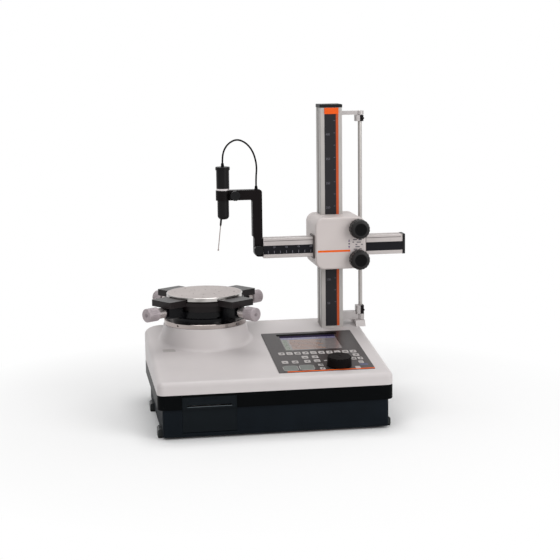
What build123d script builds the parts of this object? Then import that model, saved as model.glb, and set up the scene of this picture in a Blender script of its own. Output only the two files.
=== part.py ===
from build123d import *
import math
import os

# Roundness measuring instrument, millimetres, +Z up, the front faces -Y.
# The origin is the middle of the flat underside of the base tray.

# --- base footprint and levels ---
base_w = 450.0
base_d = 360.0
corner_front = 14.0
corner_rear = 38.0
tray_inset_side = 9.0
tray_inset_front = 4.7
tray_h = 53.5
band_h = 28.5
wall = 3.0
floor_t = 3.0
rim_round = 2.0
seam = 0.4

# --- sloping top cover ---
cover_t = 3.0
slope_deg = 6.958
slope_mid_z = 127.15
cover_round = 10.0
boss_top_r = 84.0
boss_top_z = 168.2
boss_foot_r = 91.0
boss_round = 8.0
table_left_in = 119.0
table_x = -base_w / 2 + table_left_in

# --- inner casting, spindle and drive ---
casting_t = 12.0
casting_z = 58.0
casting_margin = 12.0
leg_r = 11.0
leg_side_in = 33.0
leg_front_in = 30.0
leg_middle_in = 110.0
leg_rear_in = 40.0
leg_middle_x = table_x + 76.0
rib_t = 8.0
rib_drop = 14.0
rib_end_y = 30.0
rib_places = (leg_middle_x, base_w / 2 - 165.0, base_w / 2 - 100.0)
shaft_r = 30.0
running_gap = 0.05
housing_wall = 20.0
housing_bottom_z = 40.0
housing_flange_r = 62.0
housing_flange_t = 8.0
flange_r = 83.0
flange_t = 9.0
part_gap = 0.3
pulley_r = 45.0
motor_pulley_r = 12.0
pulley_h = 14.0
pulley_z = 18.0
motor_dx = 60.0
motor_dy = -80.0
motor_r = 23.0
motor_h = 42.0
motor_flange = 50.0
motor_flange_t = 4.0
motor_shaft_r = 4.0
belt_t = 1.8
belt_h = 10.0

# --- centring and levelling stage ---
stage_turn_deg = -55.0
drum_r = 68.0
slide_r = 64.0
drum_t = 8.5
cross_t = 12.7
upper_t = 14.0
centring_travel = 3.0
block_w = 26.0
block_inner_r = 68.5
block_outer_r = 104.0
block_h = 23.0
wing_w = 58.0
wing_r = 115.0
wing_floor_t = 7.0
wing_t = 12.7
plate_r = 77.0
plate_t = 7.5
plate_lift = 2.2
rail_w = 40.0
rail_h = 2.6
gimbal_outer_r = 44.0
gimbal_inner_r = 31.0
gimbal_h = 10.0
pivot_pin_r = 3.0
hub_r = 25.0
tilt_deg = 1.0
hole_r = 1.65
hole_depth = 6.0
hole_circle_inner = 60.0
hole_circle_outer = 120.0
hole_count = 8

# --- adjusting screws ---
barrel_r = 10.5
barrel_end_r = 134.0
thimble_r = 13.5
thimble_start_r = 126.0
thimble_end_r = 152.0
thimble_bore_end_r = 140.0
spindle_r = 4.0
screw_z_above_block = 12.0
flute_r = 0.8
flute_count = 20

# --- column ---
column_x0 = base_w / 2 - 84.6
column_w = 45.9
column_y0 = base_d / 2 - 74.2
column_d = 44.0
column_top_z = 595.5
column_wall = 4.0
groove_w = 8.0
groove_depth = 5.0
cap_h = 6.5
cap_over = 0.6
scale_x0 = column_x0 + 9.0
scale_w = 23.9
stripe_w = 5.3
inlay_t = 0.8
head_h = 13.0
head_w = 29.0
head_t = 1.6
column_foot = 74.0
column_foot_bolt = 30.0
column_foot_t = 12.0

# --- side rod of the column ---
rod_x = column_x0 + 87.6
rod_y = column_y0 + column_d / 2
rod_r = 4.2
rod_top_z = column_top_z - 7.5
rod_bottom_z = 146.0
rod_clamp_w = 17.0
rod_clamp_d = 18.0
top_clamp_z = column_top_z - 29.5
top_clamp_h = 12.5
low_clamp_z = 163.3
low_clamp_h = 17.9
top_bar_z = column_top_z - 16.1
top_bar_h = 7.8
low_bar_z = 152.0
low_bar_h = 11.0
low_bar_rise = 6.0
rod_foot_w = 20.0
rod_foot_d = 52.0
rod_foot_h = 10.0

# --- carriage ---
carriage_x0 = column_x0 - 21.4
carriage_w = 104.0
carriage_y0 = column_y0 - 55.8
carriage_d = 110.0
carriage_z0 = 271.0
carriage_h = 106.0
carriage_corner = 18.0
carriage_round = 4.0
carriage_wall = 5.0
guide_gap = 0.4
feed_x = carriage_x0 + 88.5
upper_feed_z = 353.0
lower_feed_z = 290.5
feed_knob_r = 20.0
feed_knob_d = 22.0
feed_shaft_r = 5.0
gear_module = 1.0
idler_teeth = 18
pinion_teeth = 13
arm_pinion_teeth = 16
gear_backlash = 0.3
gear_w = 8.0
idler_shaft_r = 3.0
gear_web = 6.0
carriage_down = 58.0
carriage_up = top_clamp_z - carriage_z0 - carriage_h - 1.0

# --- horizontal arm ---
arm_x0 = table_x + 130.0
arm_x1 = carriage_x0 + 184.0
arm_y0 = carriage_y0 + 15.0
arm_d = 30.0
arm_z0 = 296.5
arm_h = 40.0
arm_wall = 4.0
arm_scale_h = 17.8
arm_scale_z = 304.2
arm_groove_w = 6.0
arm_groove_depth = 3.5
arm_cap_t = 5.5
arm_left = 75.0
arm_right = 90.0
stub_r = 5.0
stub_len = 17.0
end_block_x0 = arm_x0 - 9.4

# --- turntable axis, under the probe's line ---
table_y = arm_y0 + arm_d / 2

# --- probe holder ---
holder_x0 = arm_x0 - 30.0
holder_x1 = end_block_x0 - 0.9
holder_t = 20.0
holder_top_z = 435.5
holder_bar_h = 20.0
holder_foot_z = 299.5
holder_corner = 5.0
holder_foot_step = 2.8
holder_foot_top_z = 341.0
holder_foot_round = 9.0
probe_x = holder_x0 - 58.2
clamp_ring_r = 14.6
neck_r = 12.0
clamp_gap = 0.1
clamp_slit = 1.2
clamp_screw_x = holder_x0 - 36.0
clamp_knob_r = 10.0
clamp_knob_d = 12.0
clamp_screw_r = 2.5
foot_knob_r = 9.8
foot_screw_z = 313.5
foot_screw_x = holder_x0 + 10.2

# --- probe ---
probe_upper_r = 13.1
probe_flange_r = 14.6
probe_flange_h = 6.5
probe_top_z = 483.0
collar_h = 2.2
probe_lower_r = 11.7
nose_z = 377.0
nose_r = 5.5
nose_shoulder_z = 384.5
nose_bulge_r = 10.2
nose_bulge_z = 379.8
stylus_tip_x = probe_x - 11.7
stylus_tip_z = 315.0
stylus_pivot_z = 383.0
stylus_lean = 0.113
stylus_head_r = 3.0
stylus_head_w = 4.4
stylus_pin_r = 1.5
fork_w = 5.0
stylus_ball_r = 1.8
stylus_wire_r = 0.9
stylus_stem_r = 2.0
stylus_stem_len = 17.0

# --- probe cable ---
cable_r = 1.75
gland_r = 3.6
gland_h = 7.0

# --- control panel ---
panel_x0 = 8.5
panel_w = 186.2
panel_y0 = -base_d / 2 + 27.0
panel_len = 234.5
panel_t = 1.6
panel_seat = 0.6
display_x0 = 42.0
display_w = 115.0
display_s0 = 125.0
display_len = 88.0
display_t = 5.0
key_w = 12.2
key_len = 15.0
key_lift = 0.5
key_pitch = 15.9
key_first_x = 30.1
dial_x = 130.0
dial_s = 27.0
dial_r = 24.0
dial_h = 18.0
dial_taper = 0.8
dial_edge = 1.6
dial_shaft_r = 3.0

# --- printer at the front left ---
door_x0 = -base_w / 2 + 46.0
door_w = 102.0
door_z0 = 8.0
door_top_z = 77.0
door_t = 3.0
slot_w = 84.0
slot_h = 2.6
slot_z = 60.5
hinge_pin_r = 0.8
hinge_pin_len = 3.5
roll_r = 22.0
roll_w = 78.0
roll_y = -base_d / 2 + 42.0
roll_z = 32.0
platen_r = 6.0

# --- feet ---
foot_len = 30.0
foot_h = 13.0
foot_out = 8.0
foot_in = 6.0
pad_t = 4.0
foot_front_y = -base_d / 2 + 39.0
foot_rear_y = foot_front_y + 198.5

# --- rear inlet, cover recess and a height above everything ---
inlet_x = -base_w / 2 + 55.0
recess_x = -base_w / 2 + 38.5
recess_s = 160.0
recess_w = 27.0
recess_len = 7.0
above_all = column_top_z + 100.0

slope = math.tan(math.radians(slope_deg))


def top_z(y):
    """Height of the sloping top over the depth y."""
    return slope_mid_z + slope * y


def slope_plane(x, s, lift=0.0):
    """Plane on the top cover: x across, s along the slope from the panel's front edge."""
    rise = math.radians(slope_deg)
    y = panel_y0 + s * math.cos(rise) - lift * math.sin(rise)
    z = top_z(panel_y0) + s * math.sin(rise) + lift * math.cos(rise)
    normal = (0, -math.sin(rise), math.cos(rise))
    return Plane(origin=(x, y, z), x_dir=(1, 0, 0), z_dir=normal)


def box(x0, x1, y0, y1, z0, z1):
    """Box between two corners."""
    size = Box(x1 - x0, y1 - y0, z1 - z0)
    return Pos((x0 + x1) / 2, (y0 + y1) / 2, (z0 + z1) / 2) * size


def prism_x(points, x0, x1):
    """Outline in y and z, drawn out along X."""
    face = make_face(Plane.YZ * Polyline(*points, close=True))
    return Pos(x0, 0, 0) * extrude(face, x1 - x0, dir=(1, 0, 0))


def prism_y(points, y0, y1):
    """Outline in x and z, drawn out along Y."""
    face = make_face(Plane.XZ * Polyline(*points, close=True))
    return Pos(0, y0, 0) * extrude(face, y1 - y0, dir=(0, 1, 0))


def rod_z(x, y, z0, z1, r):
    """Upright cylinder."""
    return Pos(x, y, (z0 + z1) / 2) * Cylinder(r, z1 - z0)


def rod_along_y(x, z, y0, y1, r):
    """Cylinder along Y."""
    return Pos(x, (y0 + y1) / 2, z) * Rot(90, 0, 0) * Cylinder(r, y1 - y0)


def rod_along_x(y, z, x0, x1, r):
    """Cylinder along X."""
    return Pos((x0 + x1) / 2, y, z) * Rot(0, 90, 0) * Cylinder(r, x1 - x0)


def plan(inset, front_extra=0.0):
    """Plan outline of the base, set in from the full footprint."""
    x = base_w / 2 - inset
    front = base_d / 2 - inset - front_extra
    rear = base_d / 2 - inset
    rf = max(corner_front - inset, 2.0)
    rr = max(corner_rear - inset, 2.0)
    outline = Polyline((-x, -front), (x, -front), (x, rear), (-x, rear), close=True)
    face = make_face(outline)
    corners = face.vertices()
    face = fillet(corners.filter_by_position(Axis.Y, -front - 1, -front + 1), rf)
    rear_corners = face.vertices().filter_by_position(Axis.Y, rear - 1, rear + 1)
    return fillet(rear_corners, rr)


def base_tray():
    """Lower black tray, open at the top, with the printer opening at the front left."""
    outer = extrude(plan(tray_inset_side, tray_inset_front - tray_inset_side), tray_h)
    outer = fillet(outer.edges().group_by(Axis.Z)[0], rim_round)
    inner_plan = plan(tray_inset_side + wall, tray_inset_front - tray_inset_side)
    tray = outer - Pos(0, 0, floor_t) * extrude(inner_plan, tray_h)
    y_front = -base_d / 2 + tray_inset_front
    opening = box(door_x0 - seam, door_x0 + door_w + seam, y_front - 5, y_front + wall + 3,
                  door_z0 - seam, tray_h + 1)
    tray -= opening
    y_pin, z_pin = door_pin()
    reach = seam + hinge_pin_len + part_gap
    tray -= rod_along_x(y_pin, z_pin, door_x0 - reach, door_x0 + door_w + reach,
                        hinge_pin_r + running_gap)
    for x in range(-40, 161, 20):
        tray -= box(x - 3, x + 3, base_d / 2 - tray_inset_side - wall - 2, base_d / 2, 20, 36)
    tray -= box(inlet_x - 14, inlet_x + 14, base_d / 2 - tray_inset_side - wall - 2, base_d / 2, 14, 34)
    for y in (foot_front_y, foot_rear_y):
        for side in (-1, 1):
            x = side * (base_w / 2 - tray_inset_side)
            tray -= box(min(x - side * 2, x + side * 2), max(x - side * 2, x + side * 2),
                        y - 3, y + 3, 4, 10)
    return tray


def base_band():
    """Upper black rim round the base."""
    outer = Pos(0, 0, tray_h) * extrude(plan(0), band_h)
    outer = fillet(outer.edges().group_by(Axis.Z)[0] + outer.edges().group_by(Axis.Z)[-1], rim_round)
    ring = outer - Pos(0, 0, tray_h - 1) * extrude(plan(tray_inset_side), band_h + 2)
    y_front = -base_d / 2
    ring -= box(door_x0 - seam, door_x0 + door_w + seam, y_front - 5, y_front + tray_inset_side + 5,
                tray_h - 1, door_top_z + seam)
    return ring


def cover_block(inset, drop, top_round):
    """Solid with the outer or inner form of the sloping cover."""
    tall = slope_mid_z + base_d
    z0 = tray_h + band_h
    block = Pos(0, 0, z0) * extrude(plan(inset), tall - z0)
    cutter = Plane(origin=(0, 0, slope_mid_z - drop), x_dir=(1, 0, 0),
                   z_dir=(0, -math.sin(math.radians(slope_deg)), math.cos(math.radians(slope_deg))))
    block -= cutter * (Pos(0, 0, tall) * Box(base_w * 2, base_d * 2, tall * 2))
    normal = cutter.z_dir
    tops = [f for f in block.faces() if f.normal_at().dot(normal) > 0.999]
    return fillet(tops[0].edges(), top_round)


def boss_cone(extra):
    """Cone of the turntable boss, cut off at its top level."""
    foot_z = top_z(table_y)
    height = boss_top_z - foot_z
    lean = (boss_foot_r - boss_top_r) / height
    low = foot_z - 45.0
    r_low = boss_top_r + lean * (boss_top_z - low) - extra
    return Pos(table_x, table_y, (low + boss_top_z - extra) / 2) * Cone(
        r_low, boss_top_r - extra, boss_top_z - extra - low)


def top_cover():
    """White moulded cover with the sloping top and the round boss under the turntable."""
    outer = cover_block(0, 0, cover_round)
    cone = boss_cone(0) & box(-base_w, base_w, -base_d, base_d, tray_h + band_h + 15, boss_top_z)
    outer += cone
    inner = cover_block(cover_t, cover_t, cover_round - cover_t)
    shell = outer - inner - (boss_cone(cover_t) & box(-base_w, base_w, -base_d, base_d,
                                                      tray_h + band_h, boss_top_z))
    join = [e for e in shell.edges()
            if e.geom_type != GeomType.CIRCLE and e.geom_type != GeomType.LINE
            and abs(e.center().X - table_x) < boss_foot_r + 5
            and abs((e @ 0.25 - Vector(table_x, table_y, 0)).length) > 0
            and math.hypot((e @ 0.25).X - table_x, (e @ 0.25).Y - table_y) > boss_top_r
            and (e @ 0.25).Z > top_z((e @ 0.25).Y) - 1]
    if join:
        shell = fillet(join, boss_round)
    shell -= rod_z(table_x, table_y, boss_top_z - 20, boss_top_z + 5,
                   shaft_r + housing_wall + part_gap)
    gap = 0.5
    shell -= box(column_x0 - gap, column_x0 + column_w + gap, column_y0 - gap,
                 column_y0 + column_d + gap, tray_h, 200)
    seat = slope_plane(panel_x0 + panel_w / 2, panel_len / 2)
    shell -= seat * Box(panel_w + 1, panel_len + 1, panel_seat * 2)
    window = slope_plane(display_x0 + display_w / 2, display_s0 + display_len / 2)
    shell -= window * Box(display_w + 2, display_len + 2, 20)
    shell -= slope_plane(dial_x, dial_s) * Cylinder(dial_shaft_r + 2, 20)
    mark = slope_plane(recess_x, recess_s)
    shell -= mark * Box(recess_w, recess_len, 0.8)
    return shell


def base_casting():
    """Stiff inner plate that carries the spindle, the drive and the column."""
    plate = Pos(0, 0, casting_z) * extrude(plan(casting_margin), casting_t)
    front_cut = box(door_x0 - 6, door_x0 + door_w + 6, -base_d, -base_d / 2 + 80, 0, 200)
    plate -= front_cut
    plate -= rod_z(table_x, table_y, 0, 200, shaft_r + housing_wall + part_gap)
    plate -= rod_z(table_x + motor_dx, table_y + motor_dy, 0, 200, motor_pulley_r + 6)
    side_x = base_w / 2 - leg_side_in
    front_y = -base_d / 2 + leg_front_in
    for x in (-side_x, side_x):
        for y in (-base_d / 2 + leg_middle_in, base_d / 2 - leg_rear_in):
            plate += rod_z(x, y, floor_t, casting_z + 1, leg_r)
    for x in (leg_middle_x, side_x):
        plate += rod_z(x, front_y, floor_t, casting_z + 1, leg_r)
    low = casting_z - rib_drop
    for x in rib_places:
        plate += box(x - rib_t / 2, x + rib_t / 2, front_y, rib_end_y, low, casting_z + 1)
    plate += box(leg_middle_x - 10, side_x + 3, -rib_t * 0.75, rib_t * 0.75, low, casting_z + 1)
    return plate + column_seat()


def column_seat():
    """Raised seat round the foot of the column, with its four bolts."""
    z0 = casting_z + casting_t
    cx = column_x0 + column_w / 2
    cy = column_y0 + column_d / 2
    seat = Pos(cx, cy, z0 + column_foot_t / 2 - 0.5) * Box(column_foot, column_foot, column_foot_t + 1)
    seat = fillet(seat.edges().filter_by(Axis.Z), 6)
    seat -= box(column_x0, column_x0 + column_w, column_y0, column_y0 + column_d, z0, z0 + 40)
    for dx in (-column_foot_bolt, column_foot_bolt):
        for dy in (-column_foot_bolt, column_foot_bolt):
            seat += rod_z(cx + dx, cy + dy, z0 + column_foot_t - 1, z0 + column_foot_t + 5, 5)
    return seat


def foot_positions():
    """Places of the four side feet, as x side and y."""
    return [(side, y) for side in (-1, 1) for y in (foot_front_y, foot_rear_y)]


def foot_brackets():
    """Four metal feet hooked on the sides of the tray."""
    feet = []
    side_x = base_w / 2 - tray_inset_side
    for side, y in foot_positions():
        outline = [(side_x, 0.5), (side_x + foot_out, 0.5), (side_x + foot_out, foot_h - 3),
                   (side_x + foot_out - 3, foot_h), (side_x, foot_h)]
        block = prism_y(outline, y - foot_len / 2, y + foot_len / 2)
        block += box(side_x - foot_in, side_x + 1, y - foot_len / 2, y + foot_len / 2, -1.5, -0.02)
        block += box(side_x, side_x + foot_out, y - foot_len / 2, y + foot_len / 2, -1.5, 0.5)
        block += box(side_x - 2, side_x + 1, y - 3, y + 3, 4, 10)
        feet.append(block if side > 0 else mirror(block, Plane.YZ))
    return Compound(children=feet)


def foot_pads():
    """Rubber pads under the side feet."""
    pads = []
    side_x = base_w / 2 - tray_inset_side
    for side, y in foot_positions():
        x = side * (side_x + (foot_out - foot_in) / 2)
        pad = Pos(x, y, -1.5 - (pad_t - 1.5) / 2) * Box(foot_in + foot_out, foot_len, pad_t - 1.5)
        pad = fillet(pad.edges().filter_by(Axis.Z), 3)
        pads.append(pad)
    return Compound(children=pads)


def spindle_housing():
    """Bearing housing of the turntable spindle, flanged on the casting."""
    top = boss_top_z - 4.0
    body = rod_z(table_x, table_y, housing_bottom_z, top, shaft_r + housing_wall)
    body += rod_z(table_x, table_y, casting_z + casting_t, casting_z + casting_t + housing_flange_t,
                  housing_flange_r)
    body = chamfer(body.edges().group_by(Axis.Z)[-1], 2)
    body -= rod_z(table_x, table_y, housing_bottom_z - 1, top + 1, shaft_r + running_gap)
    for k in range(6):
        a = math.radians(60 * k + 30)
        body -= rod_z(table_x + (housing_flange_r - 6) * math.cos(a),
                      table_y + (housing_flange_r - 6) * math.sin(a),
                      casting_z, casting_z + casting_t + 20, 3)
    return body


def spindle():
    """Turntable shaft with the bright flange that carries the stage."""
    z0 = boss_top_z + part_gap
    ring = rod_z(table_x, table_y, z0, z0 + flange_t, flange_r)
    ring = chamfer(ring.edges().group_by(Axis.Z)[-1], 0.8)
    ring += rod_z(table_x, table_y, pulley_z + pulley_h, z0 + 1, shaft_r)
    ring -= rod_z(table_x, table_y, pulley_z, z0 - 10, shaft_r - 12)
    for k in range(4):
        turn = Rot(0, 0, stage_turn_deg + 8 + 90 * k)
        hole = turn * Pos(flange_r - 2, 0, z0 + flange_t / 2) * Rot(0, 90, 0) * Cylinder(2, 8)
        ring -= Pos(table_x, table_y, 0) * hole
    return ring


def table_pulley():
    """Belt pulley under the turntable shaft."""
    disc = rod_z(table_x, table_y, pulley_z, pulley_z + pulley_h, pulley_r)
    disc += rod_z(table_x, table_y, pulley_z, pulley_z + 1.5, pulley_r + 3)
    disc += rod_z(table_x, table_y, pulley_z + pulley_h - 1.5, pulley_z + pulley_h, pulley_r + 3)
    for k in range(5):
        a = math.radians(72 * k)
        disc -= rod_z(table_x + 31 * math.cos(a), table_y + 31 * math.sin(a), 0, 60, 7)
    return disc


def motor_place():
    """Motor axis."""
    return table_x + motor_dx, table_y + motor_dy


def drive_motor():
    """Turntable motor above the casting, its shaft end pointing down."""
    x, y = motor_place()
    z0 = casting_z + casting_t
    flange = Pos(x, y, z0 + motor_flange_t / 2) * Box(motor_flange, motor_flange, motor_flange_t)
    flange = fillet(flange.edges().filter_by(Axis.Z), 6)
    body = rod_z(x, y, z0 + motor_flange_t, z0 + motor_flange_t + motor_h, motor_r)
    body = fillet(body.edges().group_by(Axis.Z)[-1], 3)
    motor = flange + body
    return motor - rod_z(x, y, z0 - 1, z0 + 20, motor_shaft_r + part_gap)


def motor_pulley():
    """Small pulley with its shaft."""
    x, y = motor_place()
    pulley = rod_z(x, y, pulley_z, pulley_z + pulley_h, motor_pulley_r)
    pulley += rod_z(x, y, pulley_z, pulley_z + 1.5, motor_pulley_r + 3)
    pulley += rod_z(x, y, pulley_z + pulley_h - 1.5, pulley_z + pulley_h, motor_pulley_r + 3)
    return pulley + rod_z(x, y, pulley_z, casting_z + casting_t + 18, motor_shaft_r)


def drive_belt():
    """Belt round both pulleys."""
    x, y = motor_place()
    distance = math.hypot(motor_dx, motor_dy)
    heading = math.degrees(math.atan2(motor_dy, motor_dx))
    outer = belt_loop(distance, part_gap + belt_t)
    inner = belt_loop(distance, part_gap)
    belt = extrude(outer - inner, belt_h)
    return Pos(table_x, table_y, pulley_z + (pulley_h - belt_h) / 2) * Rot(0, 0, heading) * belt


def belt_loop(distance, grow):
    """Outline of a belt round two pulleys whose centres lie along X."""
    big = pulley_r + grow
    small = motor_pulley_r + grow
    lean = math.acos((big - small) / distance)
    c = math.cos(lean)
    s = math.sin(lean)
    big_up = (big * c, big * s)
    small_up = (distance + small * c, small * s)
    small_down = (distance + small * c, -small * s)
    big_down = (big * c, -big * s)
    lines = [Line(big_up, small_up),
             ThreePointArc(small_up, (distance + small, 0), small_down),
             Line(small_down, big_down),
             ThreePointArc(big_down, (-big, 0), big_up)]
    return make_face(Curve() + lines)


def control_board():
    """Electronics board under the control panel, on four posts."""
    z0 = casting_z + casting_t
    post = 20.0
    x0 = panel_x0 + 6.5
    y0 = panel_y0 + 3.0
    wide = 170.0
    deep = 170.0
    top = z0 + post + 1.6
    board = box(x0, x0 + wide, y0, y0 + deep, z0 + post, top)
    for x in (x0 + 7, x0 + wide - 7):
        for y in (y0 + 7, y0 + deep - 7):
            board += rod_z(x, y, z0, z0 + post + 0.5, 3)
    board += box(x0 + 25, x0 + 65, y0 + 90, y0 + 130, top, top + 3.4)
    board += box(x0 + 95, x0 + 120, y0 + 80, y0 + 120, top, top + 5.4)
    board += box(x0 + 135, x0 + 155, y0 + 120, y0 + 160, top, top + 7.4)
    return board


def power_supply():
    """Closed power unit on the tray floor."""
    x0 = 60.0
    side = 90.0
    y1 = base_d / 2 - 30.0
    top = casting_z - rib_drop
    unit = box(x0, x0 + side, y1 - side, y1, floor_t, top)
    for k in range(7):
        slot_x = x0 + 10 + 11 * k
        unit -= box(slot_x, slot_x + 5, y1 - side + 10, y1 - 10, top - 1.5, top + 1)
    return unit


def rear_inlet():
    """Power inlet in the back wall of the tray."""
    y = base_d / 2 - tray_inset_side
    x = inlet_x
    body = box(x - 13.7, x + 13.7, y - 22, y - 0.3, 14.3, 33.7)
    body += box(x - 18, x + 18, y + 0.02, y + 1.6, 10, 38) + box(x - 13.7, x + 13.7, y - 1, y + 0.5, 14.3, 33.7)
    cavity = box(x - 11.5, x + 11.5, y - 16, y + 3, 17, 31)
    body -= cavity
    for dx in (-7, 0, 7):
        body += box(x + dx - 1, x + dx + 1, y - 17, y - 6, 22, 26)
    return body


def panel_overlay():
    """Dark control panel plate let into the sloping top."""
    mid = slope_plane(panel_x0 + panel_w / 2, panel_len / 2, panel_t / 2 - panel_seat)
    plate = Box(panel_w, panel_len, panel_t)
    plate = fillet(plate.edges().filter_by(Axis.Z), 3)
    plate = mid * plate
    window = slope_plane(display_x0 + display_w / 2, display_s0 + display_len / 2)
    plate -= window * Box(display_w, display_len, 12)
    plate -= slope_plane(dial_x, dial_s) * Cylinder(dial_shaft_r + 1, 12)
    return plate


def key_places():
    """Places and sizes of the panel's flat keys: x, s, width, length."""
    keys = []
    for k in range(10):
        keys.append((key_first_x + key_pitch * k, 105.5 - 0.45 * k, key_w, key_len))
    for x, s in ((72.3, 79.5), (92.4, 79.0), (174.3, 80.5)):
        keys.append((x, s, key_w, key_len))
    for x, s in ((28.8, 55.7), (48.6, 54.8), (72.7, 55.2), (92.0, 55.9)):
        keys.append((x, s, key_w, key_len))
    for x, s in ((165.5, 60.0), (178.5, 59.5), (175.4, 38.5)):
        keys.append((x, s, key_w * 0.8, key_len * 0.9))
    for x, s in ((34.0, 20.8), (65.8, 21.8)):
        keys.append((x, s, 28.5, 27.0))
    for x, s in ((94.6, 32.0), (94.7, 12.0), (163.0, 9.0)):
        keys.append((x, s, key_w * 0.8, key_len * 0.8))
    return keys


def panel_keys():
    """Raised flat keys of the panel."""
    keys = []
    lift = panel_t - panel_seat
    for x, s, w, length in key_places():
        key = Box(w, length, key_lift)
        key = fillet(key.edges().filter_by(Axis.Z), min(w, length) * 0.2)
        keys.append(slope_plane(x, s, lift + key_lift / 2) * key)
    return Compound(children=keys)


def display():
    """Display module under the panel window."""
    lift = panel_t - panel_seat - 0.5 - display_t / 2
    mid = slope_plane(display_x0 + display_w / 2, display_s0 + display_len / 2, lift)
    return mid * Box(display_w - 0.4, display_len - 0.4, display_t)


def dial():
    """Round turning knob on the panel with its shaft."""
    lift = panel_t - panel_seat + part_gap
    base = slope_plane(dial_x, dial_s, lift)
    profile = Polyline((0, 0), (dial_r, 0), (dial_r - dial_taper, dial_h - dial_edge),
                       (dial_r - dial_taper - dial_edge, dial_h), (4, dial_h),
                       (0, dial_h - 0.6), close=True)
    knob = revolve(make_face(Plane.XZ * profile), Axis.Z)
    for k in range(24):
        a = math.radians(15 * k)
        knob -= Pos((dial_r - 2.0) * math.cos(a), (dial_r - 2.0) * math.sin(a),
                    dial_h * 0.65) * Cylinder(1.1, dial_h * 0.75)
    knob += Pos(0, 0, -7) * Cylinder(dial_shaft_r, 15)
    return base * knob


def dial_encoder():
    """Encoder body under the panel that carries the dial's shaft."""
    base = slope_plane(dial_x, dial_s, -cover_t - 0.02)
    body = Pos(0, 0, -4.5) * Box(16, 16, 9)
    body -= Pos(0, 0, -4) * Cylinder(dial_shaft_r + running_gap, 40)
    return base * body


def door_y():
    """Front faces of the printer door: low part and band part."""
    return -base_d / 2 + tray_inset_front, -base_d / 2


def door_pin():
    """Axis of the door's hinge, in the middle of the flap's lower edge."""
    return door_y()[0] + door_t / 2, door_z0 + door_t / 2


def printer_door():
    """Front flap of the printer, hinged along its lower edge."""
    y_low, y_band = door_y()
    x0 = door_x0
    x1 = door_x0 + door_w
    y_pin, z_pin = door_pin()
    outline = [(y_low, z_pin), (y_low, tray_h), (y_band, tray_h + 0.6), (y_band, door_top_z),
               (y_band + door_t, door_top_z), (y_band + door_t, tray_h + 4),
               (y_low + door_t, tray_h + 1.5), (y_low + door_t, z_pin)]
    flap = prism_x(outline, x0, x1)
    flap += rod_along_x(y_pin, z_pin, x0, x1, door_t / 2)
    middle = (x0 + x1) / 2
    flap -= box(middle - slot_w / 2, middle + slot_w / 2, y_band - 1, y_band + door_t + 1,
                slot_z - slot_h / 2, slot_z + slot_h / 2)
    flap -= box(middle - 14, middle + 14, y_band - 1, y_band + 1.2, door_top_z - 5, door_top_z + 1)
    reach = seam + hinge_pin_len
    return flap + rod_along_x(y_pin, z_pin, x0 - reach, x1 + reach, hinge_pin_r)


def printer_unit():
    """Printer frame with its platen, behind the flap."""
    y_low, y_band = door_y()
    x0 = door_x0 + 3
    x1 = door_x0 + door_w - 3
    y0 = y_low + door_t + 2
    y1 = roll_y + roll_r + 8
    frame = box(x0, x1, y0, y1, floor_t, 73)
    frame -= box(x0 + 3, x1 - 3, y0 - 1, y1 - 3, floor_t + 3, 80)
    frame += rod_along_x(y0 + 12, 62, x0 + 2, x1 - 2, platen_r)
    for x in (x0, x1 - 3):
        frame += box(x, x + 3, y0, y1, floor_t, 73)
    return frame - rod_along_x(roll_y, roll_z, x0 - 1, x1 + 1, 4 + running_gap)


def paper_roll():
    """Paper roll with its spindle."""
    middle = door_x0 + door_w / 2
    roll = rod_along_x(roll_y, roll_z, middle - roll_w / 2, middle + roll_w / 2, roll_r)
    return roll + rod_along_x(roll_y, roll_z, door_x0 + 3.5, door_x0 + door_w - 3.5, 4)


def column():
    """Hollow upright extrusion with side grooves and inlay seats on its front."""
    z0 = casting_z + casting_t
    x0 = column_x0
    x1 = column_x0 + column_w
    y0 = column_y0
    y1 = column_y0 + column_d
    body = box(x0, x1, y0, y1, z0, column_top_z)
    body = fillet(body.edges().filter_by(Axis.Z), 1.0)
    body -= box(x0 + column_wall + groove_depth, x1 - column_wall - groove_depth - 2,
                y0 + column_wall, y1 - column_wall, z0 + 20, column_top_z - 12)
    mid_y = (y0 + y1) / 2
    body -= box(x0 - 1, x0 + groove_depth, mid_y - groove_w / 2, mid_y + groove_w / 2, z0, column_top_z + 1)
    body -= box(rack_line_x() - 4 * gear_module, x1 + 1, mid_y - 5, mid_y + 5, z0, column_top_z + 1)
    top = column_top_z - head_h
    body -= box(scale_x0, scale_x0 + scale_w + stripe_w, y0 - 1, y0 + inlay_t, top_z(y0) + 3, top)
    return body


def column_cap():
    """Black cap of the column."""
    cap = box(column_x0 - cap_over, column_x0 + column_w + cap_over, column_y0 - cap_over,
              column_y0 + column_d + cap_over, column_top_z, column_top_z + cap_h)
    return fillet(cap.edges().filter_by(Axis.Z) + cap.edges().group_by(Axis.Z)[-1], 1.2)


def column_scale():
    """Black scale strip let into the column's front."""
    z0 = top_z(column_y0) + 3
    z1 = column_top_z - head_h
    return box(scale_x0, scale_x0 + scale_w, column_y0, column_y0 + inlay_t, z0, z1)


def column_trim():
    """Coloured stripe beside the scale and the block over it."""
    z0 = top_z(column_y0) + 3
    z1 = column_top_z - head_h
    x0 = scale_x0 + scale_w
    stripe = box(x0, x0 + stripe_w, column_y0, column_y0 + inlay_t, z0, z1)
    head = box(scale_x0, scale_x0 + scale_w + stripe_w, column_y0 - head_t, column_y0, z1, column_top_z - 0.5)
    return Compound(children=[stripe, head])


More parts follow.
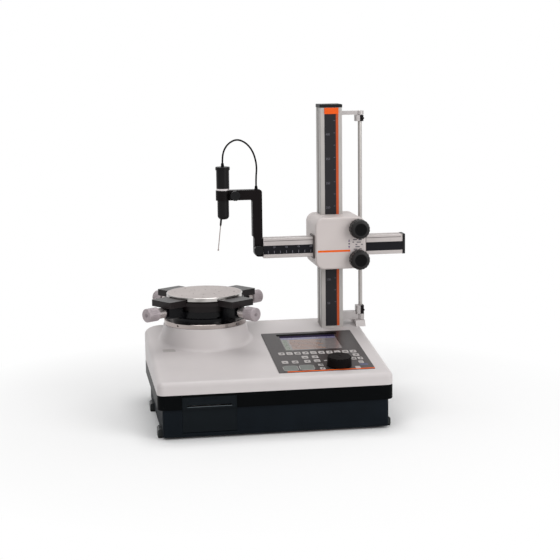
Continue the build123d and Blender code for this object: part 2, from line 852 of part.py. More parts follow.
def rack_outline(module, count, backlash):
    """Outline of a straight rack: teeth up (+Y of the sketch), one tooth centred on x = 0."""
    pitch = math.pi * module
    half = (pitch / 2 - backlash / 2) / 2
    lean = math.tan(math.radians(20)) * module
    deep = 1.25 * module
    lean_deep = math.tan(math.radians(20)) * deep
    points = []
    for k in range(-count, count + 1):
        x = k * pitch
        points += [(x - half - lean_deep, -deep), (x - half + lean, module),
                   (x + half - lean, module), (x + half + lean_deep, -deep)]
    back = -module * 4
    points += [(count * pitch + half + lean_deep, back), (-count * pitch - half - lean_deep, back)]
    return points


def pinion_face(module, teeth, backlash):
    """Involute pinion outline with a tooth gap on its +X axis."""
    pitch_r = module * teeth / 2
    base_r = pitch_r * math.cos(math.radians(20))
    tip_r = pitch_r + module * 0.95
    root_r = pitch_r - 1.25 * module
    half = (math.pi * module / 2 - backlash / 2) / 2 / pitch_r
    roll_pitch = math.tan(math.radians(20)) - math.radians(20)
    start = max(base_r, root_r)
    points = []
    for k in range(teeth):
        mid = (k + 0.5) * 2 * math.pi / teeth
        flank = []
        for i in range(4):
            r = start + (tip_r - start) * i / 3
            t = math.sqrt(max((r / base_r) ** 2 - 1, 0))
            offset = half + roll_pitch - (t - math.atan(t))
            flank.append((r, offset))
        foot = flank[0][1]
        side = [(root_r, foot)] if root_r < start - 0.01 else []
        side += flank
        points += [(r * math.cos(mid - o), r * math.sin(mid - o)) for r, o in side]
        points += [(r * math.cos(mid + o), r * math.sin(mid + o)) for r, o in reversed(side)]
    return make_face(Polyline(*points, close=True))


def idler_x():
    """Axis of the idler between the upper knob's pinion and the column's rack."""
    return feed_x - gear_module * (idler_teeth + pinion_teeth) / 2


def rack_line_x():
    """Pitch line of the column's rack."""
    return idler_x() - gear_module * idler_teeth / 2


def column_rack():
    """Rack let into the right side of the column."""
    pitch = math.pi * gear_module
    low = upper_feed_z - carriage_down - 12
    high = upper_feed_z + carriage_up + 12
    count = int((high - low) / 2 / pitch)
    shift = round(((low + high) / 2 - upper_feed_z) / pitch) * pitch
    outline = rack_outline(gear_module, count, gear_backlash)
    turned = [(rack_line_x() + v, upper_feed_z + shift + u) for u, v in outline]
    mid_y = column_y0 + column_d / 2
    return prism_y(turned, mid_y - gear_w * 0.6, mid_y + gear_w * 0.6)


def rod():
    """Slim upright rod beside the column."""
    pole = rod_z(rod_x, rod_y, rod_bottom_z, rod_top_z, rod_r)
    return chamfer(pole.edges().group_by(Axis.Z)[-1], 0.8)


def rod_brackets():
    """Arms between the column and the rod, and the low foot under the rod."""
    x0 = column_x0 + column_w
    top = box(x0, rod_x - 6, rod_y - 7, rod_y + 7, top_bar_z, top_bar_z + top_bar_h)
    top += rod_z(rod_x, rod_y, top_bar_z, top_bar_z + top_bar_h, 8)
    top -= rod_z(rod_x, rod_y, 0, above_all, rod_r)
    low = box(x0, rod_x - 6, rod_y - 8, rod_y + 8, low_bar_z, low_bar_z + low_bar_h)
    x_clamp = rod_x - 2 - rod_clamp_w / 2
    low += box(x0, x_clamp - 1.5, rod_y - 8, rod_y + 8, low_bar_z, low_bar_z + low_bar_h + low_bar_rise)
    low += rod_z(rod_x, rod_y, low_bar_z, low_bar_z + low_bar_h, 8)
    low -= rod_z(rod_x, rod_y, low_bar_z - 1, above_all, rod_r)
    y0 = rod_y - rod_foot_d / 2
    y1 = rod_y + rod_foot_d / 2 - 4
    x_mid = rod_x - 4.6
    z1 = low_bar_z
    side = [(y0, top_z(y0)), (y0 + 6, z1), (y1, z1), (y1, top_z(y1))]
    foot = prism_x(side, x_mid - rod_foot_w / 2, x_mid + rod_foot_w / 2)
    foot -= rod_z(rod_x, rod_y, 0, above_all, rod_r)
    return Compound(children=[top, low + foot])


def rod_clamps():
    """Two clamp blocks on the rod, each with its screw."""
    pieces = []
    for z0, height in ((top_clamp_z, top_clamp_h), (low_clamp_z, low_clamp_h)):
        block = Pos(rod_x - 2, rod_y, z0 + height / 2) * Box(rod_clamp_w, rod_clamp_d, height)
        block = fillet(block.edges().filter_by(Axis.Z), 3)
        block -= rod_z(rod_x, rod_y, 0, above_all, rod_r)
        block -= box(rod_x, rod_x + 20, rod_y - 0.6, rod_y + 0.6, z0 - 1, z0 + height + 1)
        block += rod_along_y(rod_x + 4.4, z0 + height / 2, rod_y - rod_clamp_d / 2 - 4,
                             rod_y - rod_clamp_d / 2 + 1, 2.2)
        pieces.append(block)
    return Compound(children=pieces)


def carriage_housing():
    """White carriage body that runs on the column and carries the arm."""
    cx = carriage_x0 + carriage_w / 2
    cz = carriage_z0 + carriage_h / 2
    cy = carriage_y0 + carriage_d / 2
    face = Plane.XZ * RectangleRounded(carriage_w, carriage_h, carriage_corner)
    outer = Pos(cx, cy + carriage_d / 2, cz) * extrude(face, carriage_d)
    outer = fillet(outer.edges().group_by(Axis.Y)[0] + outer.edges().group_by(Axis.Y)[-1], carriage_round)
    w = carriage_w - 2 * carriage_wall
    h = carriage_h - 2 * carriage_wall
    d = carriage_d - 2 * carriage_wall
    inner_face = Plane.XZ * RectangleRounded(w, h, carriage_corner - carriage_wall)
    inner = Pos(cx, cy + d / 2, cz) * extrude(inner_face, d)
    inner -= box(carriage_x0, column_x0 - 1, column_y0 - 2, carriage_y0 + carriage_d, 0, above_all)
    body = outer - inner
    g = guide_gap
    body -= box(column_x0 - g, column_x0 + column_w + g, column_y0 - g,
                column_y0 + column_d + g, carriage_z0 - 5, carriage_z0 + carriage_h + 5)
    body -= box(carriage_x0 - 5, carriage_x0 + carriage_w + 5, arm_y0 - g, arm_y0 + arm_d + g,
                arm_z0 - g, arm_z0 + arm_h + g)
    mid_y = column_y0 + column_d / 2
    x_wall = carriage_x0 + carriage_w - carriage_wall + 1
    for y in gear_web_places():
        body += box(column_x0 + column_w + g, x_wall, y, y + gear_web, upper_feed_z - 11, upper_feed_z + 11)
    body -= rod_along_y(idler_x(), upper_feed_z, mid_y - 30, mid_y + 30, idler_shaft_r + running_gap)
    for z in (upper_feed_z, lower_feed_z):
        body += rod_along_y(feed_x, z, carriage_y0 + 1, carriage_y0 + carriage_wall + 7, feed_shaft_r + 4)
        body -= rod_along_y(feed_x, z, carriage_y0 - 1, mid_y + 20, feed_shaft_r + running_gap)
    return body


def gear_web_places():
    """Front faces of the two webs that carry the idler, one on each side of it."""
    mid_y = column_y0 + column_d / 2
    return mid_y - gear_w / 2 - 1 - gear_web, mid_y + gear_w / 2 + 1


def guide_pads():
    """Slide pads of the carriage round the column and seals round the arm."""
    pieces = []
    g = part_gap
    x0 = column_x0 - 4
    x1 = column_x0 + column_w
    y0 = column_y0
    for z in (carriage_z0 + carriage_wall + 1, carriage_z0 + carriage_h - carriage_wall - 9):
        pad = box(x0 + 6, x1 - 2, y0 - g - 4, y0 - g, z, z + 8)
        pad -= box(scale_x0 - 1, scale_x0 + scale_w + stripe_w + 1, y0 - g - 1.2, y0, z - 1, z + 9)
        pad += box(x0 + 6, x0 + 10, y0 - g - 4 - (y0 - arm_y0 - arm_d - 6), y0 - g - 3.9, z, z + 8)
        pieces.append(pad)
    for side in (-1, 1):
        x = carriage_x0 if side < 0 else carriage_x0 + carriage_w
        frame = box(min(x, x + side * 3), max(x, x + side * 3), arm_y0 - 4, arm_y0 + arm_d + 4,
                    arm_z0 - 3.5, arm_z0 + arm_h + 3.5)
        frame -= box(x - 10, x + 10, arm_y0 - g, arm_y0 + arm_d + g, arm_z0 - g, arm_z0 + arm_h + g)
        pieces.append(frame)
    return Compound(children=pieces)


def feed_knob(z):
    """Large fluted hand knob with a domed face."""
    y1 = carriage_y0 - 1.5
    y0 = y1 - feed_knob_d
    profile = Polyline((0, 0), (feed_knob_r, 0), (feed_knob_r, feed_knob_d - 6),
                       (feed_knob_r - 2.5, feed_knob_d - 1.5), (feed_knob_r - 6, feed_knob_d),
                       (0, feed_knob_d), close=True)
    knob = revolve(make_face(Plane.XZ * profile), Axis.Z)
    for k in range(18):
        a = math.radians(20 * k)
        knob -= Pos((feed_knob_r + 0.8) * math.cos(a), (feed_knob_r + 0.8) * math.sin(a),
                    feed_knob_d / 2) * Cylinder(1.8, feed_knob_d * 1.2)
    knob -= Cylinder(feed_shaft_r, (feed_knob_d - 5) * 2)
    return Pos(feed_x, y1, z) * Rot(90, 0, 0) * knob


def gear(teeth, x, y, z, turn_deg):
    """Spur gear on an axis along Y, with a tooth gap turned from +X towards +Z."""
    wheel = extrude(pinion_face(gear_module, teeth, gear_backlash), gear_w)
    return Pos(x, y + gear_w / 2, z) * Rot(90, 0, 0) * (Rot(0, 0, turn_deg) * wheel)


def vertical_pinion():
    """Shaft and pinion of the upper knob, in mesh with the idler."""
    mid_y = column_y0 + column_d / 2
    shaft = rod_along_y(feed_x, upper_feed_z, carriage_y0 - 1.5 - (feed_knob_d - 5),
                        gear_web_places()[1] + gear_web, feed_shaft_r)
    return shaft + gear(pinion_teeth, feed_x, mid_y, upper_feed_z, 0)


def idler_gear():
    """Idler between the pinion and the column's rack."""
    mid_y = column_y0 + column_d / 2
    shaft = rod_along_y(idler_x(), upper_feed_z, gear_web_places()[0],
                        gear_web_places()[1] + gear_web, idler_shaft_r)
    return shaft + gear(idler_teeth, idler_x(), mid_y, upper_feed_z, 0)


def horizontal_pinion():
    """Shaft and pinion of the lower knob, in mesh with the arm's rack."""
    mid_y = arm_y0 + arm_d / 2
    shaft = rod_along_y(feed_x, lower_feed_z, carriage_y0 - 1.5 - (feed_knob_d - 5),
                        mid_y + 12, feed_shaft_r)
    return shaft + gear(arm_pinion_teeth, feed_x, mid_y, lower_feed_z, 90)


def arm():
    """Hollow horizontal extrusion with a seat for its scale and a slot for its rack."""
    mid_y = arm_y0 + arm_d / 2
    body = box(arm_x0, arm_x1, arm_y0, arm_y0 + arm_d, arm_z0, arm_z0 + arm_h)
    body = fillet(body.edges().filter_by(Axis.X), 1.0)
    body -= box(arm_x0 + 12, arm_x1 + 1, arm_y0 + arm_wall, arm_y0 + arm_d - arm_wall,
                arm_z0 + arm_wall + 9, arm_z0 + arm_h - arm_wall - 4)
    body -= box(arm_x0, arm_x1 + 1, arm_y0 - 1, arm_y0 + inlay_t, arm_scale_z, arm_scale_z + arm_scale_h)
    line_z = lower_feed_z + gear_module * arm_pinion_teeth / 2
    body -= box(arm_x0 + 20, arm_x1 - 6, mid_y - 5, mid_y + 5, arm_z0 - 1, line_z + 4 * gear_module)
    body -= box(arm_x0 - 1, arm_x1 + 1, mid_y - arm_groove_w / 2, mid_y + arm_groove_w / 2,
                arm_z0 + arm_h - arm_groove_depth, arm_z0 + arm_h + 1)
    return body


def arm_rack():
    """Rack under the arm."""
    pitch = math.pi * gear_module
    low = feed_x - arm_right - 8
    high = feed_x + arm_left + 8
    count = int((high - low) / 2 / pitch)
    shift = round(((low + high) / 2 - feed_x) / pitch) * pitch
    line_z = lower_feed_z + gear_module * arm_pinion_teeth / 2
    outline = rack_outline(gear_module, count, gear_backlash)
    turned = [(feed_x + shift + u, line_z - v) for u, v in outline]
    mid_y = arm_y0 + arm_d / 2
    return prism_y(turned, mid_y - gear_w * 0.6, mid_y + gear_w * 0.6)


def arm_scale():
    """Black scale strip on the arm's front."""
    return box(end_block_x0, arm_x1, arm_y0, arm_y0 + inlay_t, arm_scale_z,
               arm_scale_z + arm_scale_h)


def arm_end_cap():
    """Black cap on the arm's free end."""
    cap = box(arm_x1, arm_x1 + arm_cap_t, arm_y0 - 0.5, arm_y0 + arm_d + 0.5, arm_z0 - 0.5,
              arm_z0 + arm_h + 0.5)
    return fillet(cap.edges().filter_by(Axis.X), 2)


def arm_end_block():
    """Block at the arm's working end with the round stub for the probe holder."""
    block = box(end_block_x0, arm_x0, arm_y0, arm_y0 + arm_d, arm_z0, arm_z0 + arm_h)
    block = fillet(block.edges().filter_by(Axis.X), 1.0)
    block -= box(end_block_x0 - 1, arm_x0 + 1, arm_y0 - 1, arm_y0 + inlay_t, arm_scale_z,
                 arm_scale_z + arm_scale_h)
    mid_y = arm_y0 + arm_d / 2
    block -= box(end_block_x0 - 1, arm_x0 + 1, mid_y - arm_groove_w / 2, mid_y + arm_groove_w / 2,
                 arm_z0 + arm_h - arm_groove_depth, arm_z0 + arm_h + 1)
    z = arm_z0 + arm_h / 2
    return block + rod_along_x(mid_y, z, end_block_x0 - stub_len, end_block_x0 + 1, stub_r)


def holder_bar():
    """Cranked probe holder: foot on the arm's stub, upright, top bar and split clamp."""
    mid_y = arm_y0 + arm_d / 2
    z1 = holder_top_z
    z0 = holder_top_z - holder_bar_h
    x_ring = probe_x + clamp_ring_r - 3
    x_foot = holder_x0 + holder_foot_step
    outline = [(x_foot, holder_foot_z), (holder_x1, holder_foot_z), (holder_x1, z1),
               (x_ring, z1), (x_ring, z0), (holder_x0, z0), (holder_x0, holder_foot_top_z),
               (x_foot, holder_foot_top_z - holder_foot_step)]
    bar = prism_y(outline, mid_y - holder_t / 2, mid_y + holder_t / 2)
    corner = bar.edges().filter_by(Axis.Y)
    outer = corner.filter_by_position(Axis.X, holder_x1 - 0.1, holder_x1 + 0.1)
    inner = corner.filter_by_position(Axis.X, holder_x0 - 0.1, holder_x0 + 0.1)
    picked = outer.filter_by_position(Axis.Z, z1 - 0.1, z1 + 0.1)
    picked += inner.filter_by_position(Axis.Z, z0 - 0.1, z0 + 0.1)
    bar = fillet(picked, holder_corner)
    low = bar.edges().filter_by(Axis.Y).filter_by_position(Axis.X, x_foot - 0.1, x_foot + 0.1)
    low = low.filter_by_position(Axis.Z, holder_foot_z - 0.1, holder_foot_z + 0.1)
    bar = fillet(low, holder_foot_round)
    bar += rod_z(probe_x, mid_y, z0, z1, clamp_ring_r)
    bar -= rod_z(probe_x, mid_y, z0 - 1, z1 + 1, neck_r + clamp_gap)
    bar -= box(probe_x, clamp_screw_x + 7, mid_y - clamp_slit / 2, mid_y + clamp_slit / 2, z0 - 1, z1 + 1)
    bar -= rod_along_y(clamp_screw_x, (z0 + z1) / 2, mid_y - 20, mid_y + 7, clamp_screw_r + running_gap)
    z_pin = arm_z0 + arm_h / 2
    bar -= rod_along_x(mid_y, z_pin, end_block_x0 - stub_len - 1, holder_x1 + 1, stub_r + running_gap)
    bar -= rod_along_y(foot_screw_x, foot_screw_z, mid_y - 20, mid_y - stub_r + 0.5,
                       clamp_screw_r + running_gap)
    x_side = (holder_x0 + holder_x1) / 2
    bar -= box(x_side - 3, x_side + 3, mid_y + holder_t / 2 - 1.2, mid_y + holder_t / 2 + 1,
               holder_foot_top_z + 4, z0 - 10.5)
    return bar


def clamp_knob(x, z, radius, screw_len):
    """Small fluted clamp knob with its screw, on the front of the holder."""
    mid_y = arm_y0 + arm_d / 2
    y1 = mid_y - holder_t / 2 - 0.5
    knob = Pos(0, 0, clamp_knob_d / 2) * Cylinder(radius, clamp_knob_d)
    knob = chamfer(knob.edges().group_by(Axis.Z)[-1], 1.2)
    for k in range(12):
        a = math.radians(30 * k)
        knob -= Pos((radius + 0.6) * math.cos(a), (radius + 0.6) * math.sin(a),
                    clamp_knob_d / 2) * Cylinder(1.2, clamp_knob_d * 1.2)
    knob += Pos(0, 0, -screw_len / 2) * Cylinder(clamp_screw_r, screw_len)
    return Pos(x, y1, z) * Rot(90, 0, 0) * knob


def probe_clamp_knob():
    """Knob that closes the split clamp."""
    return clamp_knob(clamp_screw_x, holder_top_z - holder_bar_h / 2, clamp_knob_r, holder_t / 2 + 6)


def holder_clamp_knob():
    """Knob that holds the crank on the arm's stub."""
    return clamp_knob(foot_screw_x, foot_screw_z, foot_knob_r, holder_t / 2 - stub_r + 0.2)


def probe_body():
    """Probe casing: flanged head, clamped neck, slimmer lower barrel and nose."""
    mid_y = arm_y0 + arm_d / 2
    z_ring = holder_top_z + collar_h
    z_low = holder_top_z - holder_bar_h
    body = rod_z(probe_x, mid_y, z_ring, probe_top_z - 1, probe_upper_r)
    head = rod_z(probe_x, mid_y, probe_top_z - probe_flange_h, probe_top_z, probe_flange_r)
    body += fillet(head.edges().group_by(Axis.Z)[-1], 1.5)
    body += rod_z(probe_x, mid_y, z_low - 0.5, z_ring + 0.5, neck_r)
    flat = Polyline((nose_r, nose_z), (0, nose_z), (0, z_low - 0.4), (probe_lower_r, z_low - 0.4),
                    (probe_lower_r, nose_shoulder_z))
    bulge = ThreePointArc((probe_lower_r, nose_shoulder_z), (nose_bulge_r, nose_bulge_z),
                          (nose_r, nose_z))
    body += Pos(probe_x, mid_y, 0) * revolve(make_face(Plane.XZ * (flat + bulge)), Axis.Z)
    pivot_x = stylus_axis_x(stylus_pivot_z)
    body -= box(probe_x - 14, probe_x + 14, mid_y - fork_w / 2, mid_y + fork_w / 2, nose_z - 1,
                stylus_pivot_z + stylus_head_r + 1)
    body -= rod_along_y(pivot_x, stylus_pivot_z, mid_y - 6.5, mid_y + 6.5, stylus_pin_r + running_gap)
    return body


def stylus_axis_x(z):
    """Centre line of the leaning stylus."""
    return stylus_tip_x + stylus_lean * (z - stylus_tip_z)


def probe_collar():
    """Bright collar between the clamp and the head of the probe."""
    mid_y = arm_y0 + arm_d / 2
    ring = rod_z(probe_x, mid_y, holder_top_z, holder_top_z + collar_h, probe_upper_r + 0.2)
    return ring - rod_z(probe_x, mid_y, 0, above_all, neck_r)


def stylus():
    """Leaning stylus with its pivot pin and ball tip."""
    mid_y = arm_y0 + arm_d / 2
    top = Vector(stylus_axis_x(stylus_pivot_z), mid_y, stylus_pivot_z)
    tip = Vector(stylus_tip_x, mid_y, stylus_tip_z)
    length = (tip - top).length
    reach = math.sqrt(stylus_ball_r ** 2 - stylus_wire_r ** 2)
    sides = Polyline((0, length + stylus_ball_r), (0, 0), (stylus_stem_r, 0),
                     (stylus_stem_r, stylus_stem_len), (stylus_wire_r, stylus_stem_len + 4),
                     (stylus_wire_r, length - reach))
    ball = ThreePointArc((stylus_wire_r, length - reach), (stylus_ball_r, length),
                         (0, length + stylus_ball_r))
    stem = revolve(make_face(Plane.XZ * (sides + ball)), Axis.Z)
    stem = Plane(origin=top, z_dir=tip - top) * stem
    head = rod_along_y(top.X, top.Z, mid_y - stylus_head_w / 2, mid_y + stylus_head_w / 2,
                       stylus_head_r)
    pin = rod_along_y(top.X, top.Z, mid_y - 6, mid_y + 6, stylus_pin_r)
    return stem + head + pin


def cable_points():
    """Corner points of the probe cable, from the probe's head to the holder's corner."""
    mid_y = arm_y0 + arm_d / 2
    z0 = probe_top_z + gland_h
    x1 = holder_x0 + 9.2
    z1 = holder_top_z + gland_h
    rise = [(0.0, 0.0), (0.0, 12.5), (3.6, 27.0), (13.2, 40.0), (29.2, 47.5)]
    fall = [(-21.7, 89.0), (-8.7, 75.5), (-1.2, 57.5), (2.0, 37.5), (0.0, 16.5), (0.0, 0.0)]
    return ([Vector(probe_x + dx, mid_y, z0 + dz) for dx, dz in rise]
            + [Vector(x1 + dx, mid_y, z1 + dz) for dx, dz in fall])


def cable_radii(points):
    """Bend radius at each inner point, as large as its two runs allow."""
    radii = []
    for before, here, after in zip(points, points[1:], points[2:]):
        a = here - before
        b = after - here
        half = math.radians(a.get_angle(b)) / 2
        radii.append(0.45 * min(a.length, b.length) / math.tan(half))
    return radii


def probe_cable():
    """Free cable from the probe to the holder."""
    points = cable_points()
    radii = cable_radii(points)
    print("cable radii", [round(r, 1) for r in radii])
    path = FilletPolyline(*points, radius=radii)
    start = Plane(origin=points[0], z_dir=points[1] - points[0])
    tube = sweep(start * Circle(cable_r), path=path)
    length = sum(e.length for e in path.edges())
    print("cable length", round(length, 1), "volume ratio",
          round(tube.volume / (math.pi * cable_r ** 2 * length), 4))
    return tube


def cable_glands():
    """Strain reliefs at both ends of the cable."""
    mid_y = arm_y0 + arm_d / 2
    points = cable_points()
    pieces = []
    for end, z in ((points[0], probe_top_z), (points[-1], holder_top_z)):
        gland = Pos(end.X, mid_y, z + gland_h / 2) * Cone(gland_r, gland_r - 1.0, gland_h)
        pieces.append(gland)
    return Compound(children=pieces)


def stage_place(shape):
    """Turns a stage piece from its own axes to its place over the spindle."""
    return Pos(table_x, table_y, 0) * Rot(0, 0, stage_turn_deg) * shape


def stage_levels():
    """Lower faces of the drum, cross slide and upper slide."""
    drum = boss_top_z + part_gap + flange_t
    cross = drum + drum_t + part_gap
    upper = cross + cross_t + part_gap
    return drum, cross, upper


def wing_z():
    """Lower face of the wings."""
    return stage_levels()[2] + upper_t + part_gap


def screw_block(level, layer_t):
    """Bearing block on +X beside a layer, with its barrel and a bore for the spindle."""
    z1 = wing_z() - part_gap
    z0 = z1 - block_h
    low = level
    high = level + layer_t
    outline = [(slide_r - 6, low), (block_inner_r + 7, low), (block_inner_r + 11, max(z0, low + 1)),
               (block_outer_r, max(z0, low + 1)), (block_outer_r, z1), (block_inner_r, z1),
               (block_inner_r, high), (slide_r - 6, high)]
    block = prism_y(outline, -block_w / 2, block_w / 2)
    axis_z = z0 + screw_z_above_block
    block += rod_along_x(0, axis_z, block_outer_r - 1, barrel_end_r, barrel_r)
    return block - rod_along_x(0, axis_z, block_inner_r - 1, barrel_end_r + 1, spindle_r + running_gap)


def screw_axis_z():
    """Height of the adjusting screws."""
    return wing_z() - part_gap - block_h + screw_z_above_block


def stage_base():
    """Drum on the spindle flange with the rail and screw block of the first slide."""
    drum, cross, upper = stage_levels()
    body = rod_z(0, 0, drum, drum + drum_t, drum_r)
    body = chamfer(body.edges().group_by(Axis.Z)[-1], 0.8)
    body += box(-50, 50, -rail_w / 2, rail_w / 2, drum + drum_t - 1, cross + rail_h)
    body += screw_block(drum, drum_t)
    return stage_place(body)


def cross_slide():
    """Middle layer that slides along the first screw and carries the second."""
    drum, cross, upper = stage_levels()
    body = rod_z(0, 0, cross, cross + cross_t, slide_r)
    body -= box(-70, 70, -rail_w / 2 - part_gap, rail_w / 2 + part_gap, cross - 1, cross + rail_h + part_gap)
    body += box(-rail_w / 2, rail_w / 2, -50, 50, cross + cross_t - 1, upper + rail_h)
    body += Rot(0, 0, -90) * screw_block(cross, cross_t)
    return stage_place(body)


def upper_slide():
    """Upper layer with the four wings, the two levelling blocks and the pivot pocket."""
    drum, cross, upper = stage_levels()
    z_wing = wing_z()
    z_floor = z_wing + wing_floor_t
    body = rod_z(0, 0, upper, z_wing + 1, slide_r)
    body -= box(-rail_w / 2 - part_gap, rail_w / 2 + part_gap, -70, 70, upper - 1, upper + rail_h + part_gap)
    cross_plate = box(-wing_r, wing_r, -wing_w / 2, wing_w / 2, z_wing, z_wing + wing_t)
    cross_plate += box(-wing_w / 2, wing_w / 2, -wing_r, wing_r, z_wing, z_wing + wing_t)
    cross_plate = fillet(cross_plate.edges().filter_by(Axis.Z), 3)
    cross_plate += rod_z(0, 0, z_wing, z_floor, plate_r + 3)
    cross_plate -= rod_z(0, 0, z_floor, z_floor + 30, plate_r + 2.5)
    body += cross_plate
    for turn in (90, 180):
        body += Rot(0, 0, turn) * level_block(upper, z_wing)
    pocket_z = stage_tilt_z() - gimbal_h / 2 - 2.5
    body -= rod_z(0, 0, pocket_z, z_floor + 5, gimbal_outer_r + 2)
    body -= rod_along_x(0, stage_tilt_z(), -gimbal_outer_r - 7, gimbal_outer_r + 7,
                        pivot_pin_r + running_gap)
    return stage_place(body)


def level_block(level, z_wing):
    """Block of a levelling screw under a wing."""
    z0 = z_wing - part_gap - block_h
    block = box(slide_r - 4, block_inner_r + 2, -block_w / 2, block_w / 2, level, z_wing + 1)
    block += box(block_inner_r, block_outer_r, -block_w / 2, block_w / 2, z0, z_wing + 1)
    axis_z = screw_axis_z()
    block += rod_along_x(0, axis_z, block_outer_r - 1, barrel_end_r, barrel_r)
    return block - rod_along_x(0, axis_z, block_inner_r + 1, barrel_end_r + 1, spindle_r + running_gap)


def stage_tilt_z():
    """Height of the levelling pivots."""
    return wing_z() + 0.5


def gimbal():
    """Ring between the upper slide and the plate, with the two crossed pivots."""
    z = stage_tilt_z()
    ring = rod_z(0, 0, z - gimbal_h / 2, z + gimbal_h / 2, gimbal_outer_r)
    ring -= rod_z(0, 0, z - gimbal_h, z + gimbal_h, gimbal_inner_r)
    for side in (-1, 1):
        x0 = min(side * (gimbal_outer_r - 3), side * (gimbal_outer_r + 6.5))
        ring += rod_along_x(0, z, x0, x0 + 9.5, pivot_pin_r)
    for side in (-1, 1):
        y0 = min(side * (gimbal_outer_r + 1), side * (gimbal_inner_r - 1))
        ring -= rod_along_y(0, z, y0, y0 + gimbal_outer_r - gimbal_inner_r + 2,
                            pivot_pin_r + running_gap)
    return stage_place(ring)


def table_plate():
    """Round work table with its tapped holes, hub and pivot pins."""
    z = stage_tilt_z()
    z0 = wing_z() + wing_floor_t + plate_lift
    plate = rod_z(0, 0, z0, z0 + plate_t, plate_r)
    plate = chamfer(plate.edges().group_by(Axis.Z)[-1], 0.8)
    for circle in (hole_circle_inner, hole_circle_outer):
        for k in range(hole_count):
            a = math.radians(360 / hole_count * k)
            x = circle / 2 * math.cos(a)
            y = circle / 2 * math.sin(a)
            plate -= rod_z(x, y, z0 + plate_t - hole_depth, z0 + plate_t + 1, hole_r)
    plate += rod_z(0, 0, z - gimbal_h / 2, z0 + 1, hub_r)
    for side in (-1, 1):
        y0 = min(side * (gimbal_outer_r - 1.5), side * (hub_r - 2))
        plate += rod_along_y(0, z, y0, y0 + gimbal_outer_r - 1.5 - hub_r + 2, pivot_pin_r)
    return stage_place(plate)


def adjusting_knob(turn):
    """Fluted thimble with its spindle, on one of the four screws."""
    z = screw_axis_z()
    length = thimble_end_r - thimble_start_r
    knob = rod_along_x(0, z, thimble_start_r, thimble_end_r, thimble_r)
    knob = chamfer(knob.edges().group_by(Axis.X)[-1] + knob.edges().group_by(Axis.X)[0], 1.0)
    for k in range(flute_count):
        a = math.radians(360 / flute_count * k)
        groove = rod_along_x(0, 0, thimble_start_r + length * 0.35, thimble_end_r - 3, flute_r)
        knob -= Pos(0, (thimble_r + 0.2) * math.cos(a), z + (thimble_r + 0.2) * math.sin(a)) * groove
    knob -= rod_along_x(0, z, thimble_start_r - 1, thimble_bore_end_r, barrel_r + part_gap)
    knob += rod_along_x(0, z, block_inner_r + 3, thimble_bore_end_r + 1, spindle_r)
    knob += rod_along_x(0, z, thimble_end_r - 1, thimble_end_r + 1, 3.2)
    return stage_place(Rot(0, 0, turn) * knob)


NODES = {
    "base_tray": base_tray,
    "base_band": base_band,
    "top_cover": top_cover,
    "base_casting": base_casting,
    "foot_brackets": foot_brackets,
    "foot_pads": foot_pads,
    "spindle_housing": spindle_housing,
    "spindle": spindle,
    "table_pulley": table_pulley,
    "drive_motor": drive_motor,
    "motor_pulley": motor_pulley,
    "drive_belt": drive_belt,
    "control_board": control_board,
    "power_supply": power_supply,
    "rear_inlet": rear_inlet,
    "panel_overlay": panel_overlay,
    "panel_keys": panel_keys,
    "display": display,
    "dial": dial,
    "dial_encoder": dial_encoder,
    "printer_door": printer_door,
    "printer_unit": printer_unit,
    "paper_roll": paper_roll,
    "column": column,
    "column_cap": column_cap,
    "column_scale": column_scale,
    "column_trim": column_trim,
    "column_rack": column_rack,
    "rod": rod,
    "rod_brackets": rod_brackets,
    "rod_clamps": rod_clamps,
    "carriage_housing": carriage_housing,
    "guide_pads": guide_pads,
    "vertical_feed_knob": lambda: feed_knob(upper_feed_z),
    "horizontal_feed_knob": lambda: feed_knob(lower_feed_z),
    "vertical_pinion": vertical_pinion,
    "idler_gear": idler_gear,
    "horizontal_pinion": horizontal_pinion,
    "arm": arm,
    "arm_rack": arm_rack,
    "arm_scale": arm_scale,
    "arm_end_cap": arm_end_cap,
    "arm_end_block": arm_end_block,
    "holder_bar": holder_bar,
    "probe_clamp_knob": probe_clamp_knob,
    "holder_clamp_knob": holder_clamp_knob,
    "probe_body": probe_body,
    "probe_collar": probe_collar,
    "stylus": stylus,
    "probe_cable": probe_cable,
    "cable_glands": cable_glands,
    "stage_base": stage_base,
    "cross_slide": cross_slide,
    "upper_slide": upper_slide,
    "gimbal": gimbal,
    "table_plate": table_plate,
    "centring_knob_a": lambda: adjusting_knob(0),
    "centring_knob_b": lambda: adjusting_knob(-90),
    "levelling_knob_a": lambda: adjusting_knob(90),
    "levelling_knob_b": lambda: adjusting_knob(180),
}


def main():
    """Builds and writes every sub-part."""
    os.makedirs("parts", exist_ok=True)
    for name, build in NODES.items():
        export_step(build(), f"parts/{name}.step")


main()
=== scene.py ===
"""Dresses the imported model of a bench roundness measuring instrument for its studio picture.

Lengths are in millimetres, unless a name or a comment says otherwise. The frame is that of the
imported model: x runs to the operator's right, y away from the operator and z up.
"""
import logging
import math
from collections.abc import Callable, Iterable
from dataclasses import dataclass, field
from enum import Enum

import bmesh
import bpy
from bpy.types import Material, Node, NodeSocket, NodeTree, Object
from mathutils import Matrix, Vector


